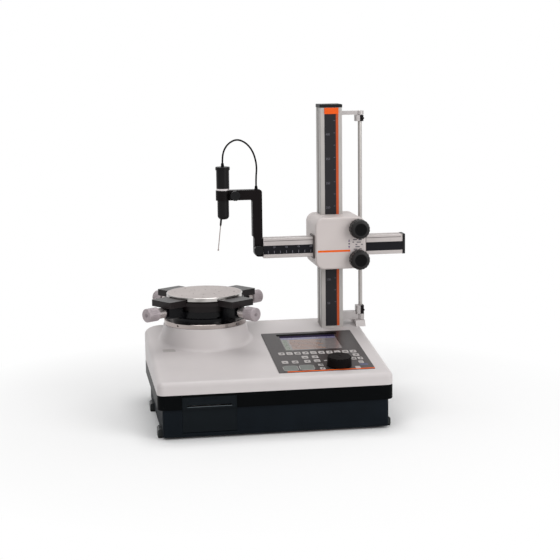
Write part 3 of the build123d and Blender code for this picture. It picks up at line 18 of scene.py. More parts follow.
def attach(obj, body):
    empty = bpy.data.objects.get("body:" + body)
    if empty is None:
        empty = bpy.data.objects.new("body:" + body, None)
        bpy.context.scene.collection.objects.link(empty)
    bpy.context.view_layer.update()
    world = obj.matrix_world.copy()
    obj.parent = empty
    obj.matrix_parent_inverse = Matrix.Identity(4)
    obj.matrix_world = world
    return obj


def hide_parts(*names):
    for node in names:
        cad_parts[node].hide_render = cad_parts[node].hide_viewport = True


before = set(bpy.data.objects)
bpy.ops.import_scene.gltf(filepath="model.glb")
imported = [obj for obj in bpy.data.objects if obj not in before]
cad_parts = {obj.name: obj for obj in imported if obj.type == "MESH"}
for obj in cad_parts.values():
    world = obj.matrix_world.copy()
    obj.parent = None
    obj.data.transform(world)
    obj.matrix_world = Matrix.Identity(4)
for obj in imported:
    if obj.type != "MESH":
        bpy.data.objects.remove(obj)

LOG = logging.getLogger("roundness")
Point = tuple[float, float, float]
Colour = tuple[float, float, float, float]

MM = 0.001
MM_PER_METRE = 1000

# sockets of the colour mix node, which goes by number
MIX_SHARE, MIX_FIRST, MIX_SECOND, MIX_RESULT = 0, 6, 7, 2
# a noise texture stays between these two values nearly everywhere
NOISE_LOW, NOISE_HIGH = 0.3, 0.7
# a polished finish never gets smoother than this
LEAST_ROUGHNESS = 0.02
# height of the grain's bump in metres
GRAIN_HEIGHT = 0.0002

# axis of the turntable as x and y, and the turn of its adjusting screws about it
TABLE_AXIS = (-106.0, 80.0)
STAGE: Point = (*TABLE_AXIS, 0.0)
STAGE_TURN_DEG = -55.0
TABLE_RADIUS = 75.0
# axes of the two feed knobs, and the radius of the inlay on their ends
UPPER_FEED: Point = (207.5, 0.0, 353.0)
LOWER_FEED: Point = (207.5, 0.0, 290.5)
INLAY_RADIUS = 12.5

# edges up to this angle are shaded smooth
SMOOTH_DEG = 35.0
# steps of a rounded corner
CORNER_STEPS = 4
# thickness of a print, and how far the middle of such a print stands off its face
PRINT = 0.1
PRINT_LIFT = 0.05
# half the thickness of the printed figures, their lift, and the font size of a figure 1 mm high
FIGURE_HALF = 0.04
FIGURE_LIFT = 0.02
FIGURE_FONT = 1.35


def linear(colour: str) -> Colour:
    """Turns an sRGB hex colour into linear light.

    Args:
        colour: Six hex digits after a hash.

    Returns:
        Red, green, blue and an alpha of 1.
    """
    parts = [int(colour[i:i + 2], 16) / 255 for i in (1, 3, 5)]
    light = [c / 12.92 if c <= 0.04045 else ((c + 0.055) / 1.055) ** 2.4 for c in parts]
    return light[0], light[1], light[2], 1.0


def add(tree: NodeTree, kind: str, inputs: dict | None = None, **settings) -> Node:
    """Adds a node with its settings and links.

    Args:
        tree: The node tree.
        kind: The node's type name.
        inputs: Values or output sockets for the node's inputs, by name or number.
        settings: Attributes of the node itself.

    Returns:
        The new node.
    """
    item = tree.nodes.new(kind)
    for key, value in settings.items():
        setattr(item, key, value)
    for key, value in (inputs or {}).items():
        if isinstance(value, NodeSocket):
            tree.links.new(value, item.inputs[key])
        else:
            item.inputs[key].default_value = value
    return item


def white_rays(tree: NodeTree) -> NodeSocket:
    """Tells the rays that see the studio as white from those that only light the object.

    Args:
        tree: The nodes of the world or of the floor.

    Returns:
        1 for camera rays, mirrored rays and rays through glass, and 0 for all others.
    """
    ray = add(tree, "ShaderNodeLightPath").outputs
    seen = add(tree, "ShaderNodeMath", {0: ray["Is Camera Ray"], 1: ray["Is Glossy Ray"]},
               operation="MAXIMUM")
    return add(tree, "ShaderNodeMath", {0: seen.outputs[0], 1: ray["Is Transmission Ray"]},
               operation="MAXIMUM").outputs[0]


class Lay(Enum):
    """Way in which a finish's grain runs, as the stretch of its pattern along x, y and z."""

    EVEN = (1.0, 1.0, 1.0)
    ALONG_X = (0.03, 1.0, 1.0)
    ALONG_Z = (1.0, 1.0, 0.03)
    RINGS = (0.0, 0.0, 0.0)


@dataclass(frozen=True)
class Finish:
    """One surface finish, made as a node material.

    Attributes:
        name: Common name of the material and how it was made.
        colour: Main colour.
        tone: Second colour of the slow mottling.
        roughness: Mean roughness.
        spread: How far the roughness strays from its mean.
        metallic: 1 for bare metal.
        specular: Strength of the surface reflection of a non-metal.
        coat: Weight of a clear coat.
        mottle_mm: Size of the mottling.
        grain_mm: Size of the surface grain.
        grain: Strength of the grain's bump.
        lay: How the grain runs.
        centre: Axis of turned rings, as x and y in millimetres.
    """

    name: str
    colour: str
    tone: str
    roughness: float
    spread: float = 0.06
    metallic: float = 0.0
    specular: float = 0.5
    coat: float = 0.0
    mottle_mm: float = 45.0
    grain_mm: float = 2.2
    grain: float = 0.12
    lay: Lay = Lay.EVEN
    centre: tuple[float, float] = (0.0, 0.0)

    def build(self) -> Material:
        """Makes the material once.

        Returns:
            The new material, or the one made before.
        """
        made = bpy.data.materials.get(self.name)
        if made:
            return made
        material = bpy.data.materials.new(self.name)
        material.use_nodes = True
        tree = material.node_tree
        tree.nodes.clear()
        place = add(tree, "ShaderNodeTexCoord").outputs["Object"]
        add(tree, "ShaderNodeOutputMaterial", {"Surface": self.surface(tree, place)})
        return material

    def surface(self, tree: NodeTree, place: NodeSocket) -> NodeSocket:
        """Makes the finish's shader.

        Args:
            tree: The material's nodes.
            place: Object coordinates.

        Returns:
            The shader's output.
        """
        mottle = add(tree, "ShaderNodeTexNoise", {
            "Vector": place, "Scale": MM_PER_METRE / self.mottle_mm, "Detail": 3.0,
            "Roughness": 0.5})
        grain = self.pattern(tree, place)
        mixed = add(tree, "ShaderNodeMix", {
            MIX_SHARE: mottle.outputs["Fac"], MIX_FIRST: linear(self.colour),
            MIX_SECOND: linear(self.tone)}, data_type="RGBA").outputs[MIX_RESULT]
        rough = add(tree, "ShaderNodeMapRange", {
            "Value": grain, "From Min": NOISE_LOW, "From Max": NOISE_HIGH,
            "To Min": max(self.roughness - self.spread, LEAST_ROUGHNESS),
            "To Max": self.roughness + self.spread})
        bump = add(tree, "ShaderNodeBump", {
            "Height": grain, "Strength": self.grain, "Distance": GRAIN_HEIGHT})
        shader = add(tree, "ShaderNodeBsdfPrincipled", {
            "Base Color": self.colouring(tree, place, mixed),
            "Roughness": rough.outputs["Result"], "Metallic": self.metallic,
            "Normal": bump.outputs["Normal"], "Coat Weight": self.coat})
        if not self.metallic:
            shader.inputs["Specular IOR Level"].default_value = self.specular
        return shader.outputs["BSDF"]

    def colouring(self, tree: NodeTree, place: NodeSocket, mixed: NodeSocket) -> NodeSocket:
        """Lets a finish change its mottled colour over the piece; a plain finish keeps it."""
        return mixed

    def pattern(self, tree: NodeTree, place: NodeSocket) -> NodeSocket:
        """Makes the height of the grain.

        Args:
            tree: The material's nodes.
            place: Object coordinates.

        Returns:
            A height between 0 and 1.
        """
        if self.lay is Lay.RINGS:
            x, y = self.centre
            moved = add(tree, "ShaderNodeMapping", {"Vector": place,
                                                    "Location": (-x * MM, -y * MM, 0)})
            flat = add(tree, "ShaderNodeVectorMath", {0: moved.outputs["Vector"], 1: (1, 1, 0)},
                       operation="MULTIPLY")
            radius = add(tree, "ShaderNodeVectorMath", {0: flat.outputs["Vector"]},
                         operation="LENGTH")
            source = add(tree, "ShaderNodeCombineXYZ", {"X": radius.outputs["Value"]})
        else:
            source = add(tree, "ShaderNodeMapping", {"Vector": place, "Scale": self.lay.value})
        noise = add(tree, "ShaderNodeTexNoise", {
            "Vector": source.outputs["Vector"], "Scale": MM_PER_METRE / self.grain_mm,
            "Detail": 4.0, "Roughness": 0.6})
        return noise.outputs["Fac"]


@dataclass(frozen=True)
class WornFinish(Finish):
    """A finish with small darker specks, as on a work table with dust and tool marks.

    Attributes:
        speck: Colour of the specks.
        speck_mm: Size of the specks.
        speck_from: Value of the noise at which a speck begins.
        speck_to: Value of the noise at which a speck is strongest.
        strength: How much of the speck's colour shows there.
    """

    speck: str = "#7d7876"
    speck_mm: float = 7.0
    speck_from: float = 0.62
    speck_to: float = 0.7
    strength: float = 0.5

    def colouring(self, tree: NodeTree, place: NodeSocket, mixed: NodeSocket) -> NodeSocket:
        """Scatters the specks over the mottled colour.

        Args:
            tree: The material's nodes.
            place: Object coordinates.
            mixed: The mottled colour.

        Returns:
            The colour with its specks.
        """
        cells = add(tree, "ShaderNodeTexNoise", {
            "Vector": place, "Scale": MM_PER_METRE / self.speck_mm, "Detail": 1.0})
        mask = add(tree, "ShaderNodeMapRange", {
            "Value": cells.outputs["Fac"], "From Min": self.speck_from,
            "From Max": self.speck_to, "To Min": 0.0, "To Max": self.strength})
        return add(tree, "ShaderNodeMix", {
            MIX_SHARE: mask.outputs["Result"], MIX_FIRST: mixed,
            MIX_SECOND: linear(self.speck)}, data_type="RGBA").outputs[MIX_RESULT]


class Zone(Enum):
    """Part of a piece that has a second finish."""

    BEYOND = "farther along the turned x or y than the limit"
    ROUND = "nearer to the axis along y than the limit"
    INSIDE = "nearer to the upright axis than the limit"
    LEFT = "x smaller than the limit"
    BELOW = "z smaller than the limit"


@dataclass(frozen=True)
class ZonedFinish(Finish):
    """A finish that gives way to another one in a zone of the piece.

    Attributes:
        zone: Where the second finish lies.
        limit_mm: Border of the zone.
        other: The second finish.
        middle: Point from which the zone is measured.
        turn_deg: Turn of the measured directions about the upright axis.
    """

    zone: Zone = Zone.BEYOND
    limit_mm: float = 0.0
    other: Finish | None = None
    middle: Point = (0.0, 0.0, 0.0)
    turn_deg: float = 0.0

    def surface(self, tree: NodeTree, place: NodeSocket) -> NodeSocket:
        """Joins the shaders of both finishes at the border.

        Args:
            tree: The material's nodes.
            place: Object coordinates.

        Returns:
            The joined shader's output.
        """
        own = super().surface(tree, place)
        far = self.other.surface(tree, place)
        way = "GREATER_THAN" if self.zone is Zone.BEYOND else "LESS_THAN"
        mask = add(tree, "ShaderNodeMath", {0: self.measure(tree, place), 1: self.limit_mm * MM},
                   operation=way)
        return add(tree, "ShaderNodeMixShader", {0: mask.outputs[0], 1: own, 2: far}).outputs[0]

    def measure(self, tree: NodeTree, place: NodeSocket) -> NodeSocket:
        """Makes the length that the limit is held against.

        Args:
            tree: The material's nodes.
            place: Object coordinates.

        Returns:
            A length in metres.
        """
        middle = tuple(c * MM for c in self.middle)
        moved = add(tree, "ShaderNodeVectorMath", {0: place, 1: middle}, operation="SUBTRACT")
        turned = add(tree, "ShaderNodeMapping", {
            "Vector": moved.outputs["Vector"],
            "Rotation": (0, 0, math.radians(-self.turn_deg))}).outputs["Vector"]
        if self.zone in (Zone.ROUND, Zone.INSIDE):
            across = (1, 0, 1) if self.zone is Zone.ROUND else (1, 1, 0)
            flat = add(tree, "ShaderNodeVectorMath", {0: turned, 1: across}, operation="MULTIPLY")
            return add(tree, "ShaderNodeVectorMath", {0: flat.outputs["Vector"]},
                       operation="LENGTH").outputs["Value"]
        if self.zone is Zone.BEYOND:
            sides = add(tree, "ShaderNodeVectorMath", {0: turned}, operation="ABSOLUTE")
            parts = add(tree, "ShaderNodeSeparateXYZ", {0: sides.outputs["Vector"]})
            return add(tree, "ShaderNodeMath", {0: parts.outputs["X"], 1: parts.outputs["Y"]},
                       operation="MAXIMUM").outputs[0]
        parts = add(tree, "ShaderNodeSeparateXYZ", {0: turned})
        return parts.outputs["X" if self.zone is Zone.LEFT else "Z"]


class Finishes:
    """All finishes of the instrument.

    Most real grains here, such as die lines, turning marks and moulded texture, are a few tenths
    of a millimetre wide. They are drawn 0.8 to 3 mm wide, because finer ones wouldn't show.
    """

    # baked enamel over a moulded cover: even, slightly warm, with a fine orange peel that is
    # drawn coarser than its real 0.6 mm so that it shows
    COVER = Finish("baked ivory enamel", "#cbc5c4", "#c3bdbd", 0.45, grain_mm=2.4, grain=0.07)
    CARRIAGE = Finish(
        "baked ivory enamel on the carriage", "#ccc3c0", "#c5bcba", 0.45, grain_mm=2.4, grain=0.07)
    # painted shade: a darker copy of the cover's enamel, laid in and around the small recess
    RECESS_SHADE = Finish(
        "painted shade of the small recess", "#b4afad", "#aca7a5", 0.5, grain_mm=2.4, grain=0.07)
    # structured black enamel on sheet: deep black with a dry bluish sheen
    TRAY = Finish(
        "structured black enamel", "#0d1115", "#141a20", 0.55, specular=0.05, grain_mm=2.6,
        grain=0.25)
    # moulded rim and flap: smoother than the tray, so that their edges part from it
    BAND = Finish(
        "black moulded rim", "#040506", "#080a0b", 0.36, specular=0.03, grain_mm=3.0, grain=0.12)
    DOOR = Finish(
        "moulded black flap", "#0d1114", "#14191d", 0.46, specular=0.06, grain_mm=2.6, grain=0.16)
    # painted highlight: a thin pale strip on the black flap under the paper slot, where light falls
    # on the lip
    SLOT_HIGHLIGHT = Finish("painted highlight under the slot", "#50565a", "#454b4f", 0.4, grain_mm=1.5, grain=0.1)
    # extruded aluminium, clear anodised: satin with die lines along the profile; the upright's left
    # side gets painted shade, a darker copy of the same finish, as that side turns away from the
    # light
    COLUMN_PAINTED_SHADE = Finish(
        "anodised aluminium extrusion, side", "#a4a09d", "#93908d", 0.42, metallic=0.25,
        lay=Lay.ALONG_Z, grain_mm=1.6, grain=0.25)
    # painted shade on the upright's left face, left of x 141.4 mm
    COLUMN = ZonedFinish(
        "anodised aluminium extrusion, upright", "#b7b2af", "#a4a09d", 0.42, metallic=0.25,
        lay=Lay.ALONG_Z, grain_mm=1.6, grain=0.25, zone=Zone.LEFT, limit_mm=141.4,
        other=COLUMN_PAINTED_SHADE)
    ARM = Finish(
        "anodised aluminium extrusion, level", "#bfb8b6", "#b1aaa8", 0.42, metallic=0.4,
        lay=Lay.ALONG_X, grain_mm=1.6, grain=0.25)
    # painted shade: a darker copy of the arm's aluminium, drawn as a thin line where the profile's
    # groove lies in shade
    SHADE = Finish(
        "painted shade of the profile's groove", "#6a6563", "#5e5957", 0.5, metallic=0.3, grain_mm=1.6,
        grain=0.2)
    # adhesive films on the profiles: dark and dull, with a flat orange edge
    SCALE = Finish(
        "black scale film", "#262427", "#1c1a1e", 0.45, specular=0.18, grain_mm=2.0, grain=0.12)
    ARM_SCALE = Finish(
        "black scale film on the arm", "#15151a", "#101014", 0.45, specular=0.12, grain_mm=2.0,
        grain=0.12)
    ORANGE = Finish(
        "orange lacquer", "#f0661a", "#e65c12", 0.5, specular=0.12, grain_mm=2.0, grain=0.1)
    STRIPE = Finish(
        "orange film", "#c4552a", "#b64a22", 0.45, specular=0.2, grain_mm=2.0, grain=0.1)
    TRIM = ZonedFinish(
        "bright orange head of the film", "#ee5f1c", "#e45612", 0.5, specular=0.15, grain_mm=2.0,
        grain=0.1, zone=Zone.BELOW, limit_mm=582.5, other=STRIPE)
    # black anodised aluminium: satin, faintly warm where light grazes it
    ANODISED = Finish(
        "black anodised aluminium", "#0c0809", "#151011", 0.42, specular=0.08, grain_mm=1.4,
        grain=0.16)
    # the same on turned parts, with a broader gleam along the barrel; the probe's is broken by
    # one bright shoulder over its collar
    BARREL = Finish(
        "turned black anodised barrel", "#0d0c0d", "#171516", 0.3, specular=0.12, grain_mm=0.9,
        grain=0.1)
    SHOULDER = ZonedFinish(
        "bright turned shoulder of the probe", "#dfd9d9", "#c2bbbb", 0.22, metallic=0.6,
        grain_mm=0.8, grain=0.1, zone=Zone.BELOW, limit_mm=436.5, other=BARREL)
    PROBE = ZonedFinish(
        "turned black barrel with a bright shoulder", "#0d0c0d", "#171516", 0.3, specular=0.12,
        grain_mm=0.9, grain=0.1, zone=Zone.BELOW, limit_mm=439.2, other=SHOULDER)
    COLLAR = Finish(
        "bright collar", "#e2dcdc", "#c9c2c2", 0.22, metallic=0.6, grain_mm=0.8, grain=0.1)
    # stylus: a dull thin stem in a black socket
    WIRE = Finish(
        "dull carbide stylus", "#a09390", "#83756f", 0.4, metallic=0.3, grain_mm=0.9, grain=0.12)
    STYLUS = ZonedFinish(
        "black stylus socket", "#140e0e", "#1e1616", 0.4, specular=0.15, grain_mm=0.9, grain=0.1,
        zone=Zone.BELOW, limit_mm=364.0, other=WIRE)
    # adjusting screws: satin thimble with a slightly darker end, on a bright sleeve
    BUTTON = Finish(
        "satin end button", "#8f8689", "#7b7275", 0.35, metallic=0.5, grain_mm=1.2, grain=0.1)
    THIMBLE = ZonedFinish(
        "satin aluminium thimble", "#b3a9ac", "#8b8184", 0.4, metallic=0.3, mottle_mm=16.0,
        grain_mm=1.2, grain=0.2, zone=Zone.BEYOND, limit_mm=152.2, other=BUTTON, middle=STAGE,
        turn_deg=STAGE_TURN_DEG)
    SLEEVE = Finish(
        "bright aluminium sleeve", "#c9c2c0", "#b3abaa", 0.28, metallic=0.85, grain_mm=1.0,
        grain=0.15)
    # stage: gloss black drum and satin black wings, which end where the bright sleeves begin
    DRUM = ZonedFinish(
        "gloss black turned drum", "#060608", "#0c0c10", 0.24, specular=0.16, grain_mm=1.2,
        grain=0.1, zone=Zone.BEYOND, limit_mm=109.0, other=SLEEVE, middle=STAGE,
        turn_deg=STAGE_TURN_DEG)
    WINGS = ZonedFinish(
        "satin black slide", "#110c0d", "#1c1516", 0.34, specular=0.2, grain_mm=1.8, grain=0.2,
        zone=Zone.BEYOND, limit_mm=115.3, other=SLEEVE, middle=STAGE, turn_deg=STAGE_TURN_DEG)
    # flange under the drum: the brightest metal of the base, with the tool's fine rings
    CHROME = Finish(
        "polished turned flange", "#b5aca8", "#8d8380", 0.17, metallic=1.0, grain_mm=1.5,
        grain=0.14, lay=Lay.RINGS, centre=TABLE_AXIS)
    # table: a soft turned face with rings and specks inside a polished rim whose near-white and
    # dark patches are painted reflection
    TABLE = WornFinish(
        "fine turned work table", "#b3aaa7", "#a39a97", 0.45, metallic=0.5, grain_mm=1.6,
        grain=0.35, lay=Lay.RINGS, centre=TABLE_AXIS)
    # painted reflection: the rim's colour swings between near white and dark grey in broad patches
    PAINTED_REFLECTION_RIM = ZonedFinish(
        "polished rim of the work table with painted reflections", "#e4e0dd", "#3a3634", 0.12, metallic=1.0, mottle_mm=34.0,
        grain_mm=1.4, grain=0.12, zone=Zone.INSIDE, limit_mm=TABLE_RADIUS, other=TABLE,
        middle=STAGE)
    # slim rod and its fittings: ground steel with an upright lay, dull brackets, black clamps
    ROD = Finish(
        "ground steel rod", "#b8b4b1", "#a6a19e", 0.3, metallic=0.6, lay=Lay.ALONG_Z, grain_mm=1.2,
        grain=0.12)
    BRACKET = Finish(
        "satin aluminium bracket", "#b5b0af", "#a7a2a1", 0.42, metallic=0.5, grain_mm=1.6,
        grain=0.18)
    CLAMP = ZonedFinish(
        "black rod clamp", "#0e0a0b", "#181213", 0.4, specular=0.13, grain_mm=1.4, grain=0.16,
        zone=Zone.LEFT, limit_mm=226.5, other=BRACKET)
    # phenolic hand knobs: soft black on the grip, with a glossier inlay on the end
    KNOB = Finish(
        "moulded black knob", "#0b0b0c", "#141415", 0.36, specular=0.16, grain_mm=1.6, grain=0.16)
    CAP = Finish(
        "gloss inlay of the feed knobs", "#060607", "#0b0b0c", 0.3, specular=0.08, grain_mm=1.6,
        grain=0.1)
    UPPER_KNOB = ZonedFinish(
        "moulded black knob, upper", "#1a1919", "#242323", 0.42, specular=0.2, grain_mm=1.6,
        grain=0.16, zone=Zone.ROUND, limit_mm=INLAY_RADIUS, other=CAP, middle=UPPER_FEED)
    LOWER_KNOB = ZonedFinish(
        "moulded black knob, lower", "#1a1919", "#242323", 0.42, specular=0.2, grain_mm=1.6,
        grain=0.16, zone=Zone.ROUND, limit_mm=INLAY_RADIUS, other=CAP, middle=LOWER_FEED)
    DIAL = Finish(
        "soft black dial", "#060404", "#0c0707", 0.5, specular=0.07, grain_mm=1.6, grain=0.16)
    # control panel: a dark film with a weak gleam, pale keys and a grey display
    PANEL = Finish(
        "dark grey glossy film", "#342d2d", "#2a2423", 0.34, specular=0.24, mottle_mm=90.0,
        grain_mm=1.8, grain=0.22)
    KEYS = Finish("printed key film", "#b6b1b0", "#a5a09d", 0.5, grain_mm=1.6, grain=0.14)
    GREEN_KEYS = Finish(
        "large printed keys", "#6b6e6a", "#5c625e", 0.5, mottle_mm=20.0, grain_mm=1.6, grain=0.14)
    KEY_MARK = Finish("dark key marks", "#332e2e", "#262222", 0.5, grain_mm=1.6, grain=0.1)
    GLASS = Finish("display glass", "#837c7c", "#77706f", 0.22, grain_mm=4.0, grain=0.02, coat=0.2)
    DISPLAY_SIDE = Finish("display side field", "#767d70", "#6b7266", 0.3, grain_mm=4.0, grain=0.02)
    DISPLAY_TOP = Finish(
        "display heading field", "#7d7896", "#6a6584", 0.3, grain_mm=4.0, grain=0.02)
    # painted shade: a dark band along the far edge of the display, where its recessed frame shades
    # the glass
    DISPLAY_SHADE = Finish(
        "painted shade over the heading", "#22163c", "#140c26", 0.5, specular=0.03, mottle_mm=30.0,
        grain_mm=4.0, grain=0.02)
    DISPLAY_TEXT = Finish("display text field", "#93715f", "#876658", 0.3, grain_mm=4.0, grain=0.02)
    BEZEL = Finish(
        "matt black display frame", "#0b080b", "#060506", 0.6, specular=0.02, grain_mm=1.8,
        grain=0.12)
    # printing inks: flat and matt, pale on the films, grey and violet on the enamel
    SCALE_INK = Finish("pale scale ink", "#65636b", "#57555e", 0.6, grain_mm=1.5, grain=0.1)
    ARM_INK = Finish(
        "pale scale ink on the arm", "#86838b", "#706e78", 0.6, grain_mm=1.5, grain=0.1)
    WHITE_INK = Finish("white print", "#c4bfbf", "#b4afaf", 0.6, grain_mm=1.5, grain=0.1)
    GREY_INK = Finish("grey print", "#57525a", "#4c4750", 0.6, grain_mm=1.5, grain=0.1)
    VIOLET_INK = Finish("violet print", "#7c6a86", "#705f7b", 0.6, grain_mm=1.5, grain=0.1)
    BLUE_INK = Finish("blue grey key print", "#484b68", "#3f4360", 0.5, grain_mm=1.5, grain=0.1)
    # rubber and cable jacket: dead black, so that the thin loop stays dark on white
    RUBBER = Finish(
        "black rubber", "#100f0f", "#181717", 0.75, specular=0.04, grain_mm=1.6, grain=0.3)
    CABLE = Finish(
        "soft black cable jacket", "#070707", "#0c0b0c", 0.8, specular=0.0, grain_mm=1.6,
        grain=0.08)
    # small moulded and cast pieces: dull and dark, so that they stay behind the others
    PLASTIC = Finish(
        "black moulded plastic", "#0f0f10", "#171719", 0.5, specular=0.15, grain_mm=1.8, grain=0.2)
    PAD = Finish(
        "grey bronze-filled slide pad", "#5c5553", "#4d4745", 0.5, specular=0.3, grain_mm=1.8,
        grain=0.2)
    FOOT = Finish(
        "dark grey cast foot", "#232728", "#1a1d1e", 0.45, specular=0.3, grain_mm=2.0, grain=0.2)
    # pieces inside, seen only through slots and when something is opened or taken apart
    STEEL = Finish(
        "bright steel", "#a59b97", "#8e8581", 0.32, metallic=1.0, grain_mm=0.9, grain=0.12)
    CASTING = Finish("grey primed casting", "#5c6063", "#6a6e70", 0.7, grain_mm=3.0, grain=0.5)
    SHEET = Finish(
        "zinc plated sheet", "#a2a5a0", "#8e918c", 0.4, metallic=0.9, grain_mm=6.0, grain=0.1)
    BOARD = Finish("green board lacquer", "#1d5a38", "#184c30", 0.35, grain_mm=2.0, grain=0.1)
    MOTOR = Finish(
        "black motor paint", "#1e1e20", "#26262a", 0.5, specular=0.2, grain_mm=2.0, grain=0.15)
    PAPER = Finish("white paper roll", "#e2dfd9", "#d8d4cc", 0.8, grain_mm=1.5, grain=0.2)


# The probe cable isn't here, because a drawn cable replaces it.
NODE_FINISH: dict[str, Finish] = {
    "base_tray": Finishes.TRAY, "base_band": Finishes.BAND, "top_cover": Finishes.COVER,
    "base_casting": Finishes.CASTING, "foot_brackets": Finishes.FOOT,
    "foot_pads": Finishes.RUBBER, "spindle_housing": Finishes.CASTING,
    "spindle": Finishes.CHROME, "table_pulley": Finishes.BRACKET, "drive_motor": Finishes.MOTOR,
    "motor_pulley": Finishes.BRACKET, "drive_belt": Finishes.RUBBER,
    "control_board": Finishes.BOARD, "power_supply": Finishes.SHEET,
    "rear_inlet": Finishes.PLASTIC, "panel_overlay": Finishes.PANEL,
    "panel_keys": Finishes.KEYS, "display": Finishes.GLASS, "dial": Finishes.DIAL,
    "dial_encoder": Finishes.PLASTIC, "printer_door": Finishes.DOOR,
    "printer_unit": Finishes.SHEET, "paper_roll": Finishes.PAPER, "column": Finishes.COLUMN,
    "column_cap": Finishes.PLASTIC, "column_scale": Finishes.SCALE,
    "column_trim": Finishes.TRIM, "column_rack": Finishes.STEEL, "rod": Finishes.ROD,
    "rod_brackets": Finishes.BRACKET, "rod_clamps": Finishes.CLAMP,
    "carriage_housing": Finishes.CARRIAGE, "guide_pads": Finishes.PAD,
    "vertical_feed_knob": Finishes.UPPER_KNOB, "horizontal_feed_knob": Finishes.LOWER_KNOB,
    "vertical_pinion": Finishes.STEEL, "idler_gear": Finishes.STEEL,
    "horizontal_pinion": Finishes.STEEL, "arm": Finishes.ARM, "arm_rack": Finishes.STEEL,
    "arm_scale": Finishes.ARM_SCALE, "arm_end_cap": Finishes.PLASTIC,
    "arm_end_block": Finishes.ARM, "holder_bar": Finishes.ANODISED,
    "probe_clamp_knob": Finishes.KNOB, "holder_clamp_knob": Finishes.KNOB,
    "probe_body": Finishes.PROBE, "probe_collar": Finishes.COLLAR, "stylus": Finishes.STYLUS,
    "cable_glands": Finishes.RUBBER, "stage_base": Finishes.DRUM, "cross_slide": Finishes.DRUM,
    "upper_slide": Finishes.WINGS, "gimbal": Finishes.BRACKET, "table_plate": Finishes.PAINTED_REFLECTION_RIM,
    "centring_knob_a": Finishes.THIMBLE, "centring_knob_b": Finishes.THIMBLE,
    "levelling_knob_a": Finishes.THIMBLE, "levelling_knob_b": Finishes.THIMBLE,
}


def fresh(operator: Callable, **settings) -> Object:
    """Deselects everything and adds a primitive.

    Args:
        operator: The operator that adds it.
        settings: The operator's settings.

    Returns:
        The new object.
    """
    bpy.ops.object.select_all(action="DESELECT")
    operator(**settings)
    return bpy.context.active_object


def pick_upright(piece: Object, least: float) -> None:
    """Selects the upright edges of a piece in edit mode.

    Args:
        piece: The piece, in edit mode.
        least: Rise that an edge must have to be picked, in metres.
    """
    bpy.ops.mesh.select_mode(type="EDGE")
    bpy.ops.mesh.select_all(action="DESELECT")
    mesh = bmesh.from_edit_mesh(piece.data)
    for edge in mesh.edges:
        low, high = edge.verts
        edge.select_set(abs(low.co.z - high.co.z) > least)
    bmesh.update_edit_mesh(piece.data)


def block(name: str, size: Point, centre: Point, corner: float = 0.0) -> Object:
    """Models a block, with its upright corners rounded where a radius is given.

    Args:
        name: Name of the piece.
        size: Width, depth and height.
        centre: Middle of the block.
        corner: Radius of the upright corners.

    Returns:
        The block, with its place in its mesh.
    """
    piece = fresh(bpy.ops.mesh.primitive_cube_add, size=1.0)
    piece.name = name
    bpy.ops.object.mode_set(mode="EDIT")
    bpy.ops.transform.resize(value=[s * MM for s in size])
    if corner:
        pick_upright(piece, size[2] * MM / 2)
        bpy.ops.mesh.bevel(offset=corner * MM, segments=CORNER_STEPS)
    bpy.ops.object.mode_set(mode="OBJECT")
    piece.data.transform(Matrix.Translation(Vector(centre) * MM))
    return piece


def copies(piece: Object, steps: Iterable[Point]) -> Object:
    """Copies a piece by some steps and joins the copies to it.

    Args:
        piece: The first of the row.
        steps: Offsets of the copies from the first, at least one.

    Returns:
        The joined piece.
    """
    made = []
    for step in steps:
        twin = piece.copy()
        twin.data = piece.data.copy()
        twin.data.transform(Matrix.Translation(Vector(step) * MM))
        bpy.context.collection.objects.link(twin)
        made.append(twin)
    bpy.ops.object.select_all(action="DESELECT")
    for item in [*made, piece]:
        item.select_set(True)
    bpy.context.view_layer.objects.active = piece
    bpy.ops.object.join()
    return piece


def figures(name: str, body: str, height: float, place: Matrix) -> Object:
    """Makes plain figures as a thin raised print.

    Args:
        name: Name of the piece.
        body: The figures.
        height: Height of a figure.
        place: Where the middle of the print lies, x to the right and y up.

    Returns:
        The print as a mesh.
    """
    text = fresh(bpy.ops.object.text_add)
    text.data.body = body
    text.data.size = height * FIGURE_FONT * MM
    text.data.extrude = FIGURE_HALF * MM
    text.data.align_x = "CENTER"
    text.data.align_y = "CENTER"
    bpy.ops.object.convert(target="MESH")
    piece = bpy.context.active_object
    piece.name = name
    piece.data.transform(place)
    return piece


def dress(piece: Object, finish: Finish, body: str) -> Object:
    """Gives a new piece its finish and its body, and logs it.

    Args:
        piece: The piece.
        finish: Its finish.
        body: Body of the model that carries it.

    Returns:
        The same piece.
    """
    piece.data.materials.clear()
    piece.data.materials.append(finish.build())
    if piece.type == "MESH":
        bpy.ops.object.select_all(action="DESELECT")
        piece.select_set(True)
        bpy.context.view_layer.objects.active = piece
        bpy.ops.object.shade_smooth_by_angle(angle=math.radians(SMOOTH_DEG))
    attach(piece, body)
    LOG.info("%s rides on %s", piece.name, body)
    return piece


def dress_nodes() -> None:
    """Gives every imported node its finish."""
    for name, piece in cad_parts.items():
        if name in NODE_FINISH:
            material = NODE_FINISH[name].build()
            for slot in piece.material_slots:
                slot.material = material


def face_front(x: float, y: float, z: float) -> Matrix:
    """Gives the place of a print's middle on a face that looks at the operator."""
    return Matrix.Translation(Vector((x, y, z)) * MM) @ Matrix.Rotation(math.pi / 2, 4, "X")


